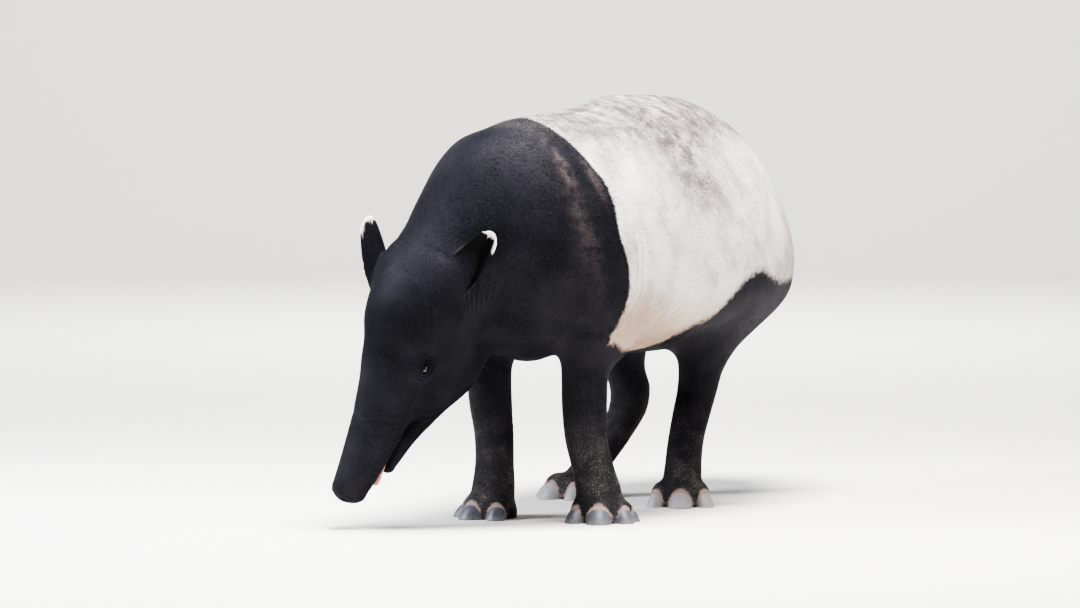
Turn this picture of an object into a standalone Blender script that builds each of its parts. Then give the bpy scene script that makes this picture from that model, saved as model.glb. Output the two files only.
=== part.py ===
"""A Malayan tapir, life size, standing with its head lowered to graze.

Metres, +Z up, +X towards the head, +Y to the animal's left. The flesh is one blended surface: lofts and
rounded masses melt into each other, a voxel remesh gives the surface its faces, and each vertex is then
settled onto the blend. Thin flat cuts part the body into head, neck, trunk, legs, ears and tail.
"""

import math

import bmesh
import bpy
import numpy as np
from mathutils import Matrix, Vector

# ---- driving sizes ---------------------------------------------------------------------------------------
MIDDLE = (0.0535, -0.0035, 0.0)  # the spot under the middle of the bounding box, which becomes the origin
PART_GAP = 0.0004  # left between two pieces that meet
VOXEL = 0.009  # size of a remesh face before the surface is thinned out
FLESH_SHARE = 0.029  # share of the remesh faces that is kept when the flesh is thinned out

# Trunk: station along X, height of the widest line, reach above it, reach below it, half width
TRUNK = (
    (-0.700, 0.700, 0.045, 0.050, 0.045),
    (-0.685, 0.695, 0.090, 0.075, 0.085),
    (-0.650, 0.680, 0.155, 0.110, 0.130),
    (-0.580, 0.655, 0.250, 0.140, 0.178),
    (-0.460, 0.625, 0.346, 0.160, 0.238),
    (-0.300, 0.610, 0.402, 0.195, 0.288),
    (-0.100, 0.605, 0.417, 0.222, 0.312),
    (0.040, 0.605, 0.413, 0.222, 0.306),
    (0.160, 0.610, 0.390, 0.218, 0.290),
    (0.280, 0.620, 0.350, 0.218, 0.258),
    (0.400, 0.640, 0.311, 0.225, 0.215),
    (0.500, 0.655, 0.266, 0.210, 0.170),
    (0.560, 0.665, 0.196, 0.172, 0.132),
    (0.600, 0.670, 0.126, 0.118, 0.088),
    (0.622, 0.672, 0.060, 0.058, 0.044),
)
TRUNK_CAPS = (0.012, 0.018)
TRUNK_POWERS = (1.75, 2.25)

# Neck: station from the withers to the poll, lift of the middle, reach above, reach below, half width
NECK_START = (0.36, 0.00, 0.705)
NECK_END = (0.70, -0.125, 0.600)
NECK = (
    (-0.18, -0.040, 0.208, 0.200, 0.150),
    (-0.06, 0.000, 0.226, 0.230, 0.172),
    (0.06, 0.018, 0.238, 0.240, 0.180),
    (0.16, 0.038, 0.232, 0.235, 0.172),
    (0.28, 0.022, 0.172, 0.192, 0.142),
    (0.37, -0.015, 0.124, 0.150, 0.118),
    (0.42, -0.038, 0.094, 0.108, 0.096),
    (0.452, -0.056, 0.050, 0.058, 0.058),
)
NECK_CAPS = (0.06, 0.015)

# Head: station from inside the poll to the tip of the nose, then as above
POLL = (0.70, -0.135, 0.612)
NOSE_WAY = (0.20, -0.27, -0.944)
LEFT_WAY = (0.28, 0.93, -0.22)
HEAD = (
    (-0.050, -0.030, 0.038, 0.050, 0.048),
    (-0.030, -0.034, 0.068, 0.078, 0.076),
    (0.000, -0.040, 0.095, 0.110, 0.097),
    (0.080, -0.055, 0.133, 0.142, 0.115),
    (0.150, -0.066, 0.147, 0.150, 0.116),
    (0.215, -0.066, 0.135, 0.150, 0.104),
    (0.285, -0.060, 0.107, 0.118, 0.086),
    (0.353, -0.034, 0.071, 0.078, 0.065),
    (0.420, -0.020, 0.049, 0.075, 0.055),
    (0.490, -0.014, 0.037, 0.066, 0.048),
    (0.545, -0.011, 0.035, 0.049, 0.042),
)
HEAD_CAPS = (0.010, 0.033)
HEAD_POWERS = (2.0, 2.2)
JAW = (
    (0.060, -0.185, 0.060, 0.055, 0.072),
    (0.150, -0.205, 0.065, 0.060, 0.084),
    (0.230, -0.192, 0.060, 0.062, 0.071),
    (0.320, -0.153, 0.038, 0.044, 0.049),
    (0.400, -0.122, 0.026, 0.030, 0.034),
    (0.465, -0.110, 0.012, 0.017, 0.021),
)
JAW_CAPS = (0.05, 0.020)

# Legs: station up from the floor, reach ahead, reach behind, half width
FRONT_LEG = (
    (0.000, 0.052, 0.046, 0.052),
    (0.040, 0.054, 0.048, 0.055),
    (0.080, 0.050, 0.047, 0.054),
    (0.130, 0.044, 0.043, 0.051),
    (0.200, 0.045, 0.044, 0.052),
    (0.270, 0.052, 0.050, 0.055),
    (0.340, 0.054, 0.054, 0.056),
    (0.430, 0.070, 0.062, 0.062),
    (0.540, 0.110, 0.120, 0.078),
    (0.700, 0.105, 0.135, 0.070),
    (0.840, 0.070, 0.080, 0.050),
)
HIND_LEG = (
    (0.000, 0.052, 0.044, 0.050),
    (0.040, 0.052, 0.045, 0.050),
    (0.080, 0.044, 0.043, 0.047),
    (0.150, 0.040, 0.040, 0.046),
    (0.225, 0.042, 0.048, 0.049),
    (0.275, 0.048, 0.054, 0.051),
    (0.330, 0.060, 0.060, 0.055),
    (0.385, 0.112, 0.108, 0.065),
    (0.430, 0.165, 0.170, 0.080),
    (0.500, 0.225, 0.240, 0.098),
    (0.600, 0.250, 0.225, 0.106),
    (0.720, 0.200, 0.170, 0.092),
    (0.840, 0.110, 0.100, 0.040),
)
# Middle line of each leg: height, X, Y, and the way it points in degrees to the left of ahead
LEG_PATHS = {
    "front_left": (
        (0.00, 0.350, 0.152, 26.0), (0.08, 0.350, 0.145, 24.0), (0.18, 0.378, 0.131, 18.0),
        (0.30, 0.388, 0.128, 12.0), (0.43, 0.384, 0.130, 6.0), (0.84, 0.330, 0.105, 0.0),
    ),
    "front_right": (
        (0.00, 0.392, -0.130, -18.0), (0.08, 0.385, -0.125, -16.0), (0.18, 0.380, -0.126, -14.0),
        (0.30, 0.380, -0.138, -10.0), (0.43, 0.374, -0.146, -6.0), (0.84, 0.330, -0.105, 0.0),
    ),
    "hind_left": (
        (0.00, -0.105, 0.125, 28.0), (0.08, -0.125, 0.120, 26.0), (0.16, -0.155, 0.113, 22.0),
        (0.27, -0.228, 0.104, 14.0), (0.34, -0.230, 0.118, 6.0), (0.43, -0.235, 0.143, 0.0),
        (0.50, -0.280, 0.150, 0.0), (0.60, -0.350, 0.150, 0.0), (0.84, -0.380, 0.105, 0.0),
    ),
    "hind_right": (
        (0.00, -0.155, -0.215, -26.0), (0.08, -0.205, -0.185, -24.0), (0.16, -0.250, -0.142, -20.0),
        (0.25, -0.297, -0.125, -14.0), (0.34, -0.275, -0.136, -6.0), (0.43, -0.250, -0.145, 0.0),
        (0.50, -0.290, -0.150, 0.0), (0.60, -0.350, -0.150, 0.0), (0.84, -0.380, -0.105, 0.0),
    ),
}

# Rounded masses over the frame: middle, way of the long radius, radii along, up and across, blend
MASSES = (
    ((0.350, 0.148, 0.600), (0.15, 0.0, 1.0), (0.230, 0.150, 0.102), 0.05),
    ((0.350, -0.148, 0.600), (0.15, 0.0, 1.0), (0.230, 0.150, 0.102), 0.05),
    ((0.470, 0.000, 0.535), (0.3, 0.0, 1.0), (0.150, 0.090, 0.115), 0.06),
    ((-0.575, 0.064, 0.605), (0.1, 0.0, 1.0), (0.135, 0.085, 0.085), 0.06),
    ((-0.575, -0.064, 0.605), (0.1, 0.0, 1.0), (0.135, 0.085, 0.085), 0.06),
)
# The same in the head's frame: along the nose, to the left, above
HEAD_MASSES = (
    ((0.210, 0.074, -0.026), (0.038, 0.030, 0.030), 0.02),
    ((0.210, -0.074, -0.026), (0.038, 0.030, 0.030), 0.02),
    ((0.012, 0.082, -0.030), (0.040, 0.036, 0.032), 0.03),
    ((0.046, -0.080, 0.004), (0.044, 0.036, 0.034), 0.03),
)
NECK_BLEND, LEG_BLEND, TOE_BLEND = 0.11, 0.05, 0.020  # how far apart two pieces start to melt
HEAD_BLEND = (0.032, 0.125)  # at the throat, over the poll
JAW_BLEND = (0.009, 0.045)  # at the mouth, behind it
ELBOW_BLEND = (0.016, 0.05)  # at the elbow, at the shoulder
HEAD_BLEND_ABOVE = (-0.07, 0.05)  # heights over the head's middle line between which its blend widens
JAW_BLEND_ALONG = (0.38, 0.22)  # places along the head between which the jaw's blend widens
ELBOW_BLEND_UP = (0.43, 0.53)  # heights between which the front legs' blend widens
POWER_SHIFT = 0.35  # share of a section's height over which its lower power turns into the upper one
LEG_CAPS = (0.02, 0.05)

# Toes: reach ahead, reach to the outside, splay outwards in degrees, hoof length, width and height
FRONT_TOES = {
    "middle": (0.064, -0.002, 0.0, 0.066, 0.060, 0.043),
    "inner": (0.036, -0.060, -28.0, 0.056, 0.048, 0.040),
    "outer": (0.034, 0.058, 28.0, 0.056, 0.048, 0.040),
    "small": (-0.012, 0.074, 58.0, 0.044, 0.034, 0.034),
}
HIND_TOES = {
    "middle": (0.066, 0.000, 0.0, 0.066, 0.058, 0.044),
    "inner": (0.036, -0.060, -26.0, 0.056, 0.046, 0.043),
    "outer": (0.036, 0.060, 26.0, 0.056, 0.046, 0.043),
}
HOOF_RAKE = 0.45  # how far a hoof's wall leans back for its height
HOOF_LIFTS = (0.0, 0.38, 0.70, 0.92)  # shares of a hoof's height at which its rings lie
HOOF_BACK = 0.42  # reach behind a hoof's middle, for its length
# The fleshy part of a toe, for its hoof's size: set back, lift, radii along, up and across, slope
TOE_FLESH = (0.42, 0.76, 0.52, 0.54, 0.46, 0.75)
SOLE = (0.012, (0.062, 0.042, 0.060))  # height of the sole's middle, and its radii

# Ears in the head's frame: root, tip, way the cup opens
EARS = {
    "left": ((0.010, 0.090, -0.026), (-0.134, 0.163, -0.022), (0.04, 0.71, 0.70)),
    "right": ((0.050, -0.085, 0.014), (-0.074, -0.151, 0.074), (0.25, -0.88, -0.06)),
}
# An ear's share of its length, half width round the cup, and half angle of the cup in degrees
EAR_SHAPE = (
    (0.00, 0.046, 96.0), (0.15, 0.048, 80.0), (0.35, 0.046, 64.0), (0.55, 0.041, 54.0),
    (0.75, 0.0335, 46.0), (0.88, 0.0270, 41.0), (0.95, 0.0205, 38.0), (0.985, 0.0140, 36.0),
    (1.00, 0.0070, 36.0),
)
EAR_SHARES = (0.0, 0.15, 0.33, 0.5, 0.66, 0.8, 0.91, 0.97, 1.0)  # where an ear has its rings
EAR_THICK = 0.0060
EAR_THINNING = 0.5  # share of the thickness that is lost from root to tip
EAR_SINK = 0.018  # length of the ear's root inside the head

EYE_RADIUS = 0.0155
EYE_SPOT = (0.219, 0.0905, -0.028)
NOSTRIL_SPOT = (0.575, 0.0170, 0.002)
NOSTRIL_RADII = (0.013, 0.0060, 0.0085)
TONGUE = (
    (0.385, -0.094, 0.007, 0.007, 0.013),
    (0.450, -0.089, 0.006, 0.006, 0.015),
    (0.508, -0.090, 0.005, 0.005, 0.013),
)
TONGUE_CAPS = (0.010, 0.014)
TAIL_ROOT = (-0.655, 0.0, 0.800)
TAIL_TIP = (-0.722, 0.0, 0.722)
TAIL_RADII = (0.027, 0.026, 0.021, 0.015, 0.008)

# Flat cuts that part the body
NECK_CUT = ((0.505, 0.0, 0.70), (1.0, -0.12, -0.10))
HEAD_CUT = ((0.585, -0.10, 0.52), (0.80, -0.28, -0.53))
FRONT_CUT_X = (0.255, 0.472)
HIND_CUT_X = (-0.76, 0.010)
LEG_CUT_LINE = ((0.0, 0.285), (0.42, 0.625))  # inner and outer end of the slanted cut: distance out, height

# ---- blended surface -------------------------------------------------------------------------------------


def unit(v):
    return np.asarray(v, float) / np.linalg.norm(v)


def ramp(x, low, high):
    """0 at low, 1 at high, with a smooth step between them; high may be the lower one."""
    t = np.clip((x - low) / (high - low), 0, 1)
    return t * t * (3 - 2 * t)


def smooth_table(rows, steps=24):
    """The stations with a smooth curve through them, as a dense table."""
    rows = np.array(rows, float)
    slope = np.gradient(rows, rows[:, 0], axis=0)
    s = np.linspace(0, 1, steps, endpoint=False)[:, None]
    dense = []
    for a, b, slope_a, slope_b in zip(rows, rows[1:], slope, slope[1:]):
        span = b[0] - a[0]
        dense.append(
            (2 * s**3 - 3 * s**2 + 1) * a
            + (s**3 - 2 * s**2 + s) * span * slope_a
            + (3 * s**2 - 2 * s**3) * b
            + (s**3 - s**2) * span * slope_b
        )
    return np.vstack([*dense, rows[-1:]])


class Loft:
    """A tube along a straight axis with its own section at each station and a rounded cap at each end.

    A row holds the station, the middle's offset up and to the side, and the reach up, down and to the side.
    """

    def __init__(self, start, axis, up, rows, caps, powers=(2.0, 2.0)):
        self.start = np.asarray(start, float)
        self.axis = unit(axis)
        self.side = unit(np.cross(up, self.axis))
        self.up = np.cross(self.axis, self.side)
        self.table = smooth_table(rows)
        self.caps = caps
        self.powers = powers

    def at(self, t):
        return [np.interp(t, self.table[:, 0], column) for column in self.table.T[1:]]

    def split(self, points):
        """Overshoot past the ends, offsets up and sideways, and the three reaches, for each point."""
        q = points - self.start
        t = q @ self.axis
        kept = np.clip(t, self.table[0, 0], self.table[-1, 0])
        mid_up, mid_side, up, down, side = self.at(kept)
        return kept, t - kept, q @ self.up - mid_up, q @ self.side - mid_side, up, down, side

    def distance(self, points):
        """How far points lie outside the tube, measured away from its middle line."""
        _, over, du, ds, up, down, side = self.split(points)
        reach = np.where(du > 0, up, down)
        cap = np.where(over > 0, self.caps[1], self.caps[0])
        n = self.powers[1] + (self.powers[0] - self.powers[1]) * ramp(du / reach, -POWER_SHIFT, POWER_SHIFT)
        share = (np.abs(du / reach) ** n + np.abs(ds / side) ** n + np.abs(over / cap) ** n) ** (1 / n)
        length = np.sqrt(du**2 + ds**2 + over**2)
        return length - length / np.maximum(share, 1e-6)

    def rings(self, around=20, along=26):
        """Rings of points over the tube and its caps, for the first rough shell."""
        first, last = self.table[0, 0], self.table[-1, 0]
        turn = np.linspace(0, 2 * math.pi, around, endpoint=False)
        stations = [(first, -math.sin(a), math.cos(a)) for a in np.linspace(1.35, 0.3, 4)]
        stations += [(t, 0.0, 1.0) for t in np.linspace(first, last, along)]
        stations += [(last, math.sin(a), math.cos(a)) for a in np.linspace(0.3, 1.35, 4)]
        found = []
        for t, beyond, size in stations:
            mid_up, mid_side, up, down, side = self.at(t)
            cap = self.caps[1] if beyond > 0 else self.caps[0]
            rise = np.where(np.sin(turn) > 0, up, down) * np.sin(turn) * size + mid_up
            out = side * np.cos(turn) * size + mid_side
            middle = self.start + self.axis * (t + cap * beyond)
            found.append(middle + np.outer(rise, self.up) + np.outer(out, self.side))
        return found


class TurnedLoft(Loft):
    """A loft up from the floor whose sections turn about the upright with the way the leg points."""

    def __init__(self, rows, path):
        super().__init__((0, 0, 0), (0, 0, 1), (1, 0, 0), rows, LEG_CAPS)
        self.path = path

    def split(self, points):
        t, over, du, ds, up, down, side = super().split(points)
        turn = np.radians(np.interp(t, self.path[:, 0], self.path[:, 3]))
        cos, sin = np.cos(turn), np.sin(turn)
        return t, over, du * cos - ds * sin, du * sin + ds * cos, up, down, side


def mass(middle, axis, up, radii):
    """A rounded mass: an ellipsoid with its radii along axis, up and to the side."""
    along, tall, wide = radii
    rows = ((-0.002, 0.0, 0.0, tall, tall, wide), (0.002, 0.0, 0.0, tall, tall, wide))
    return Loft(middle, axis, up, rows, (along, along))


def melt(a, b, width):
    """Union of two distances that blends within width of where they meet."""
    share = np.clip(0.5 + 0.5 * (b - a) / width, 0, 1)
    return b * (1 - share) + a * share - width * share * (1 - share)


def centred(rows):
    """Rows of station, middle, reach above, reach below, half width, with the middle on the centre line."""
    return [(t, middle, 0.0, above, below, side) for t, middle, above, below, side in rows]


def head_frame():
    """Nose, left and upper directions of the head, square to each other."""
    nose = unit(NOSE_WAY)
    left = unit(np.array(LEFT_WAY) - nose * (np.array(LEFT_WAY) @ nose))
    return nose, left, np.cross(nose, left)


def head_way(v):
    """A direction in the head's frame (along the nose, left, above) as one in the animal's frame."""
    return np.array(v, float) @ np.array(head_frame())


def in_head(spot):
    return np.array(POLL) + head_way(spot)


def from_head(points):
    """Points in the head's frame."""
    return (points - np.array(POLL)) @ np.array(head_frame()).T


def head_loft(rows, caps, powers=(2.0, 2.0)):
    nose, _, top = head_frame()
    return Loft(POLL, nose, top, centred(rows), caps, powers)


def leg_point(name, z):
    """Middle line of a leg at a height: X, Y and the way the leg points in degrees."""
    path = smooth_table(LEG_PATHS[name])
    return [float(np.interp(z, path[:, 0], column)) for column in path.T[1:]]


def leg_loft(name):
    """A leg as level sections up a bent middle line; a slanted stretch has longer sections."""
    rows = []
    step = 0.01
    for z, ahead, behind, side in FRONT_LEG if name.startswith("front") else HIND_LEG:
        x, y, _ = leg_point(name, z)
        x_up, y_up, _ = leg_point(name, z + step)
        longer, wider = math.hypot(1, (x_up - x) / step), math.hypot(1, (y_up - y) / step)
        rows.append((z, x, -y, ahead * longer, behind * longer, side * wider))
    return TurnedLoft(rows, smooth_table(LEG_PATHS[name]))


def toe_places(name):
    """Each toe of a foot: its name, spot on the floor, heading in radians, hoof length, width and height."""
    x, y, heading = leg_point(name, 0.0)
    outside = 1 if name.endswith("left") else -1
    for toe, (ahead, out, splay, *size) in (FRONT_TOES if name.startswith("front") else HIND_TOES).items():
        turn = math.radians(heading)
        spot = np.array((x, y, 0.0))
        spot += ahead * np.array((math.cos(turn), math.sin(turn), 0.0))
        spot += outside * out * np.array((-math.sin(turn), math.cos(turn), 0.0))
        yield toe, spot, turn + outside * math.radians(splay), size


def toe_masses(name):
    """The fleshy part of each toe, which leans from the foot down to the back of its hoof, and the sole."""
    x, y, heading = leg_point(name, 0.0)
    back, lift, along, tall, wide, slope = TOE_FLESH
    for _, spot, turn, (length, width, height) in toe_places(name):
        ahead = np.array((math.cos(turn), math.sin(turn), 0.0))
        middle = spot - ahead * back * length + np.array((0.0, 0.0, lift * height))
        radii = (along * length, tall * height, wide * width)
        yield mass(middle, ahead - np.array((0, 0, slope)), (0, 0, 1), radii)
    turn = math.radians(heading)
    way = (math.cos(turn), math.sin(turn), 0.0)
    yield mass((x, y, SOLE[0]), way, (0, 0, 1), SOLE[1])


def between(ends, share):
    return ends[0] + (ends[1] - ends[0]) * share


def head_blend(points):
    return between(HEAD_BLEND, ramp(from_head(points)[:, 2], *HEAD_BLEND_ABOVE))


def jaw_blend(points):
    return between(JAW_BLEND, ramp(from_head(points)[:, 0], *JAW_BLEND_ALONG))


def elbow_blend(points):
    return between(ELBOW_BLEND, ramp(points[:, 2], *ELBOW_BLEND_UP))


def body_field():
    """The pieces of flesh in the order they melt together, each with the width of its blend or a function."""
    nose, _, top = head_frame()
    way = np.array(NECK_END) - np.array(NECK_START)
    field = [
        (Loft((0, 0, 0), (1, 0, 0), (0, 0, 1), centred(TRUNK), TRUNK_CAPS, TRUNK_POWERS), 0.0),
        (Loft(NECK_START, way, (0, 0, 1), centred(NECK), NECK_CAPS), NECK_BLEND),
        (head_loft(HEAD, HEAD_CAPS, HEAD_POWERS), head_blend),
        (head_loft(JAW, JAW_CAPS), jaw_blend),
    ]
    field += [(mass(in_head(spot), nose, top, radii), blend) for spot, radii, blend in HEAD_MASSES]
    field += [(leg_loft(name), elbow_blend if name.startswith("front") else LEG_BLEND) for name in LEG_PATHS]
    field += [(mass(middle, way, (1, 0, 0), radii), blend) for middle, way, radii, blend in MASSES]
    field += [(toe, TOE_BLEND) for name in LEG_PATHS for toe in toe_masses(name)]
    return field


def distance(field, points):
    total = None
    for piece, width in field:
        d = piece.distance(points)
        blend = width(points) if callable(width) else width
        total = d if total is None else melt(total, d, blend)
    return total


def settle(field, points, rounds=5, step=0.0008, most=0.02):
    """Moves points along the slope of the blend until they lie on it."""
    for _ in range(rounds):
        d = distance(field, points)
        slope = np.stack(
            [distance(field, points + e) - distance(field, points - e) for e in np.eye(3) * step], axis=1
        ) / (2 * step)
        steep = np.maximum((slope**2).sum(1), 0.05)
        points = points - slope * (np.clip(d, -most, most) / steep)[:, None]
    return points


# ---- meshes ----------------------------------------------------------------------------------------------


def new_object(name, mesh):
    obj = bpy.data.objects.new(name, mesh)
    bpy.context.scene.collection.objects.link(obj)
    return obj


def add_shell(bm, rings):
    """Skins rings of points with triangles and closes both ends with a strip from side to side."""
    loops = [[bm.verts.new(p) for p in ring] for ring in rings]
    count = len(loops[0])
    for a, b in zip(loops, loops[1:]):
        for i in range(count):
            j = (i + 1) % count
            bm.faces.new((a[i], a[j], b[j]))
            bm.faces.new((a[i], b[j], b[i]))
    for end in (loops[0][::-1], loops[-1]):
        for i in range(count // 2 - 1):
            bm.faces.new((end[i], end[i + 1], end[-2 - i]))
            bm.faces.new((end[i], end[-2 - i], end[-1 - i]))


def shell_mesh(name, *shells):
    """One mesh of closed shells, faces outward."""
    bm = bmesh.new()
    for rings in shells:
        add_shell(bm, rings)
    bmesh.ops.recalc_face_normals(bm, faces=bm.faces)
    mesh = bpy.data.meshes.new(name)
    bm.to_mesh(mesh)
    bm.free()
    return mesh


def evaluated_mesh(obj):
    graph = bpy.context.evaluated_depsgraph_get()
    return bpy.data.meshes.new_from_object(obj.evaluated_get(graph))


def shaped(mesh, kind, **settings):
    """The mesh as one modifier leaves it."""
    obj = new_object("work", mesh)
    modifier = obj.modifiers.new(kind.lower(), kind)
    for key, value in settings.items():
        setattr(modifier, key, value)
    result = evaluated_mesh(obj)
    bpy.data.objects.remove(obj)
    return result


def cut(mesh, tool, operation):
    """The mesh less the tool, or only what lies inside it."""
    cutter = new_object("cutter", tool)
    result = shaped(mesh, "BOOLEAN", object=cutter, operation=operation, solver="EXACT")
    bpy.data.objects.remove(cutter)
    return result


def settled(mesh, field):
    points = np.empty(len(mesh.vertices) * 3, np.float32)
    mesh.vertices.foreach_get("co", points)
    points = settle(field, points.reshape(-1, 3).astype(float))
    mesh.vertices.foreach_set("co", points.astype(np.float32).ravel())
    mesh.update()
    return mesh


def main_body(mesh):
    """The mesh without the loose scraps beside its biggest body."""
    bm = bmesh.new()
    bm.from_mesh(mesh)
    left, biggest = set(bm.verts), set()
    while left:
        edge = found = {left.pop()}
        while edge:
            edge = {e.other_vert(v) for v in edge for e in v.link_edges} & left
            left -= edge
            found = found | edge
        biggest = max(biggest, found, key=len)
    bmesh.ops.delete(bm, geom=[v for v in bm.verts if v not in biggest], context="VERTS")
    bm.to_mesh(mesh)
    bm.free()
    return mesh


def flesh_mesh(field):
    """The rough shells made one by a voxel remesh, settled onto the blend, remeshed and thinned out."""
    rough = shell_mesh("rough", *(piece.rings() for piece, _ in field))
    for _ in range(2):
        rough = settled(main_body(shaped(rough, "REMESH", mode="VOXEL", voxel_size=VOXEL)), field)
    even = main_body(shaped(rough, "REMESH", mode="VOXEL", voxel_size=VOXEL))
    return shaped(even, "DECIMATE", ratio=FLESH_SHARE)


def box(low, high):
    """Rings of an upright box, bottom first."""
    (x0, y0, z0), (x1, y1, z1) = low, high
    square = ((x0, y0), (x1, y0), (x1, y1), (x0, y1))
    return [np.array([(x, y, z) for x, y in square]) for z in (z0, z1)]


def half_space(spot, normal, shift=0.0):
    """A big block on the side of a plane that its normal points to, moved along it by shift."""
    normal = Vector(normal).normalized()
    mesh = shell_mesh("block", box((-2, -2, 0), (2, 2, 4)))
    turn = Vector((0, 0, 1)).rotation_difference(normal).to_matrix().to_4x4()
    mesh.transform(Matrix.Translation(Vector(spot) + normal * shift) @ turn)
    return mesh


def leg_block(name, grow):
    """A block around one leg under a cut that slants up and out, from the groin to over the thigh."""
    x0, x1 = FRONT_CUT_X if name.startswith("front") else HIND_CUT_X
    outside = 1 if name.endswith("left") else -1
    (y_in, z_in), (y_out, z_out) = LEG_CUT_LINE
    profile = ((y_in, -0.10), (y_in, z_in + grow), (y_out, z_out + grow), (y_out, -0.10))
    ends = (x0 - grow, x1 + grow)
    return shell_mesh("leg_block", [np.array([(x, outside * y, z) for y, z in profile]) for x in ends])


# ---- separate pieces -------------------------------------------------------------------------------------


def hoof_rings(spot, turn, size, grow=0.0):
    """A hoof: level rings that shrink and lean back as they rise, blunt at the heel."""
    length, width, height = size
    ahead = np.array((math.cos(turn), math.sin(turn), 0.0))
    side = np.array((-math.sin(turn), math.cos(turn), 0.0))
    around = np.linspace(0, 2 * math.pi, 12, endpoint=False)
    rings = []
    for lift in HOOF_LIFTS:
        wide = (1 - lift**2.2) ** 0.5
        front = np.where(np.cos(around) > 0, 0.5 * length * wide, HOOF_BACK * length * wide) + grow
        x = front * np.cos(around) - HOOF_RAKE * lift * height
        y = (0.5 * width * wide + grow) * np.sin(around)
        z = lift * (height + grow)
        rings.append(spot + np.outer(x, ahead) + np.outer(y, side) + np.array((0, 0, z)))
    if grow:
        rings.insert(0, rings[0] - np.array((0, 0, 0.02)))
    return rings


def ear_rings(side, grow=0.0):
    """An ear: a leaf bent into a cup round its length, with even thickness and a rounded rim."""
    root, tip, opening = EARS[side]
    start, end = in_head(root), in_head(tip)
    way = unit(end - start)
    face = head_way(opening)
    face = unit(face - way * (face @ way))
    across = np.cross(way, face)
    table = smooth_table(EAR_SHAPE, 8)
    start = start - way * EAR_SINK
    length = np.linalg.norm(end - start)
    rings = []
    for share in EAR_SHARES:
        half, bend = (np.interp(share, table[:, 0], column) for column in table.T[1:])
        bend = math.radians(bend)
        radius = half / bend
        angles = np.linspace(-bend, bend, 8)
        thick = EAR_THICK * (1 - EAR_THINNING * share) / 2 + grow
        loop = [(a, thick) for a in angles] + [(a, -thick) for a in angles[::-1]]
        pinch = 1 + grow / half
        centre = start + way * (length * share + grow * (2 * share - 1))
        ring = []
        for a, offset in loop:
            r = radius + offset
            ring.append(centre + across * r * math.sin(a * pinch) + face * (radius - r * math.cos(a * pinch)))
        rings.append(np.array(ring))
    return rings


def ball_rings(middle, radii, frame, rows, around=12):
    """Rings of an ellipsoid with its radii along the three directions of frame."""
    turn = np.linspace(0, 2 * math.pi, around, endpoint=False)
    way, b, c = frame
    rings = []
    for a in np.linspace(0, math.pi, rows + 1)[1:-1]:
        ring = np.outer(radii[1] * np.cos(turn), b) + np.outer(radii[2] * np.sin(turn), c)
        rings.append(middle - way * radii[0] * math.cos(a) + math.sin(a) * ring)
    return rings


def head_ball(spot, radii, outside, grow=0.0, rows=7):
    along, left, above = spot
    radii = [r + grow for r in radii]
    return ball_rings(in_head((along, left * outside, above)), radii, head_frame(), rows)


def tail_rings(grow=0.0):
    start, end = np.array(TAIL_ROOT), np.array(TAIL_TIP)
    way = unit(end - start)
    across = np.array((0.0, 1.0, 0.0))
    up = np.cross(way, across)
    turn = np.linspace(0, 2 * math.pi, 12, endpoint=False)
    rings = []
    for share, radius in zip(np.linspace(0, 1, len(TAIL_RADII)), TAIL_RADII):
        radius += grow
        ring = np.outer(np.cos(turn) * radius, up) + np.outer(np.sin(turn) * radius, across)
        rings.append(start + (end - start) * share + ring)
    return rings


def tongue_rings(grow=0.0):
    rows = [(t, middle, above + grow, below + grow, side + grow) for t, middle, above, below, side in TONGUE]
    return head_loft(rows, [cap + grow for cap in TONGUE_CAPS]).rings(8, 4)


# ---- materials and nodes ---------------------------------------------------------------------------------

WELD = 0.00002  # points closer than this are one
COLOURS = {
    "black_hide": (0.030, 0.030, 0.036),
    "white_hide": (0.70, 0.67, 0.64),
    "ear_hide": (0.020, 0.020, 0.024),
    "hoof_horn": (0.22, 0.21, 0.22),
    "eye_wet": (0.010, 0.007, 0.005),
    "tongue_wet": (0.55, 0.22, 0.22),
}
ROUGHNESS = {"hoof_horn": 0.45, "eye_wet": 0.08, "tongue_wet": 0.30}


def material(kind):
    made = bpy.data.materials.get(kind)
    if made is None:
        made = bpy.data.materials.new(kind)
        made.use_nodes = True
        shader = made.node_tree.nodes["Principled BSDF"]
        shader.inputs["Base Color"].default_value = (*COLOURS[kind], 1.0)
        shader.inputs["Roughness"].default_value = ROUGHNESS.get(kind, 0.6)
        shader.inputs["Metallic"].default_value = 0.0
    return made


def place(name, mesh, kind):
    """A finished node: cleaned of slivers, in triangles, moved so that the box's middle is the origin."""
    bm = bmesh.new()
    bm.from_mesh(mesh)
    bmesh.ops.remove_doubles(bm, verts=bm.verts, dist=WELD)
    bmesh.ops.dissolve_degenerate(bm, edges=bm.edges, dist=WELD)
    bmesh.ops.triangulate(bm, faces=bm.faces)
    bmesh.ops.translate(bm, verts=bm.verts, vec=-Vector(MIDDLE))
    for face in bm.faces:
        face.smooth = True
    made = bpy.data.meshes.new(name)
    bm.to_mesh(made)
    bm.free()
    made.materials.append(material(kind))
    return new_object(name, made)


def part_legs(flesh):
    """Cuts the legs off at their slanted planes, frees the hooves from them, and returns the rest."""
    floor = half_space((0, 0, 0), (0, 0, 1))
    flesh = cut(flesh, floor, "INTERSECT")
    rest = flesh
    for name in LEG_PATHS:
        leg = cut(flesh, leg_block(name, 0.0), "INTERSECT")
        rest = cut(rest, leg_block(name, PART_GAP), "DIFFERENCE")
        for toe, spot, turn, size in toe_places(name):
            leg = cut(leg, shell_mesh("hoof", hoof_rings(spot, turn, size, PART_GAP)), "DIFFERENCE")
            place(f"hoof_{name}_{toe}", shell_mesh("hoof", hoof_rings(spot, turn, size)), "hoof_horn")
        place(f"leg_{name}", leg, "black_hide")
    return rest


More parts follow.
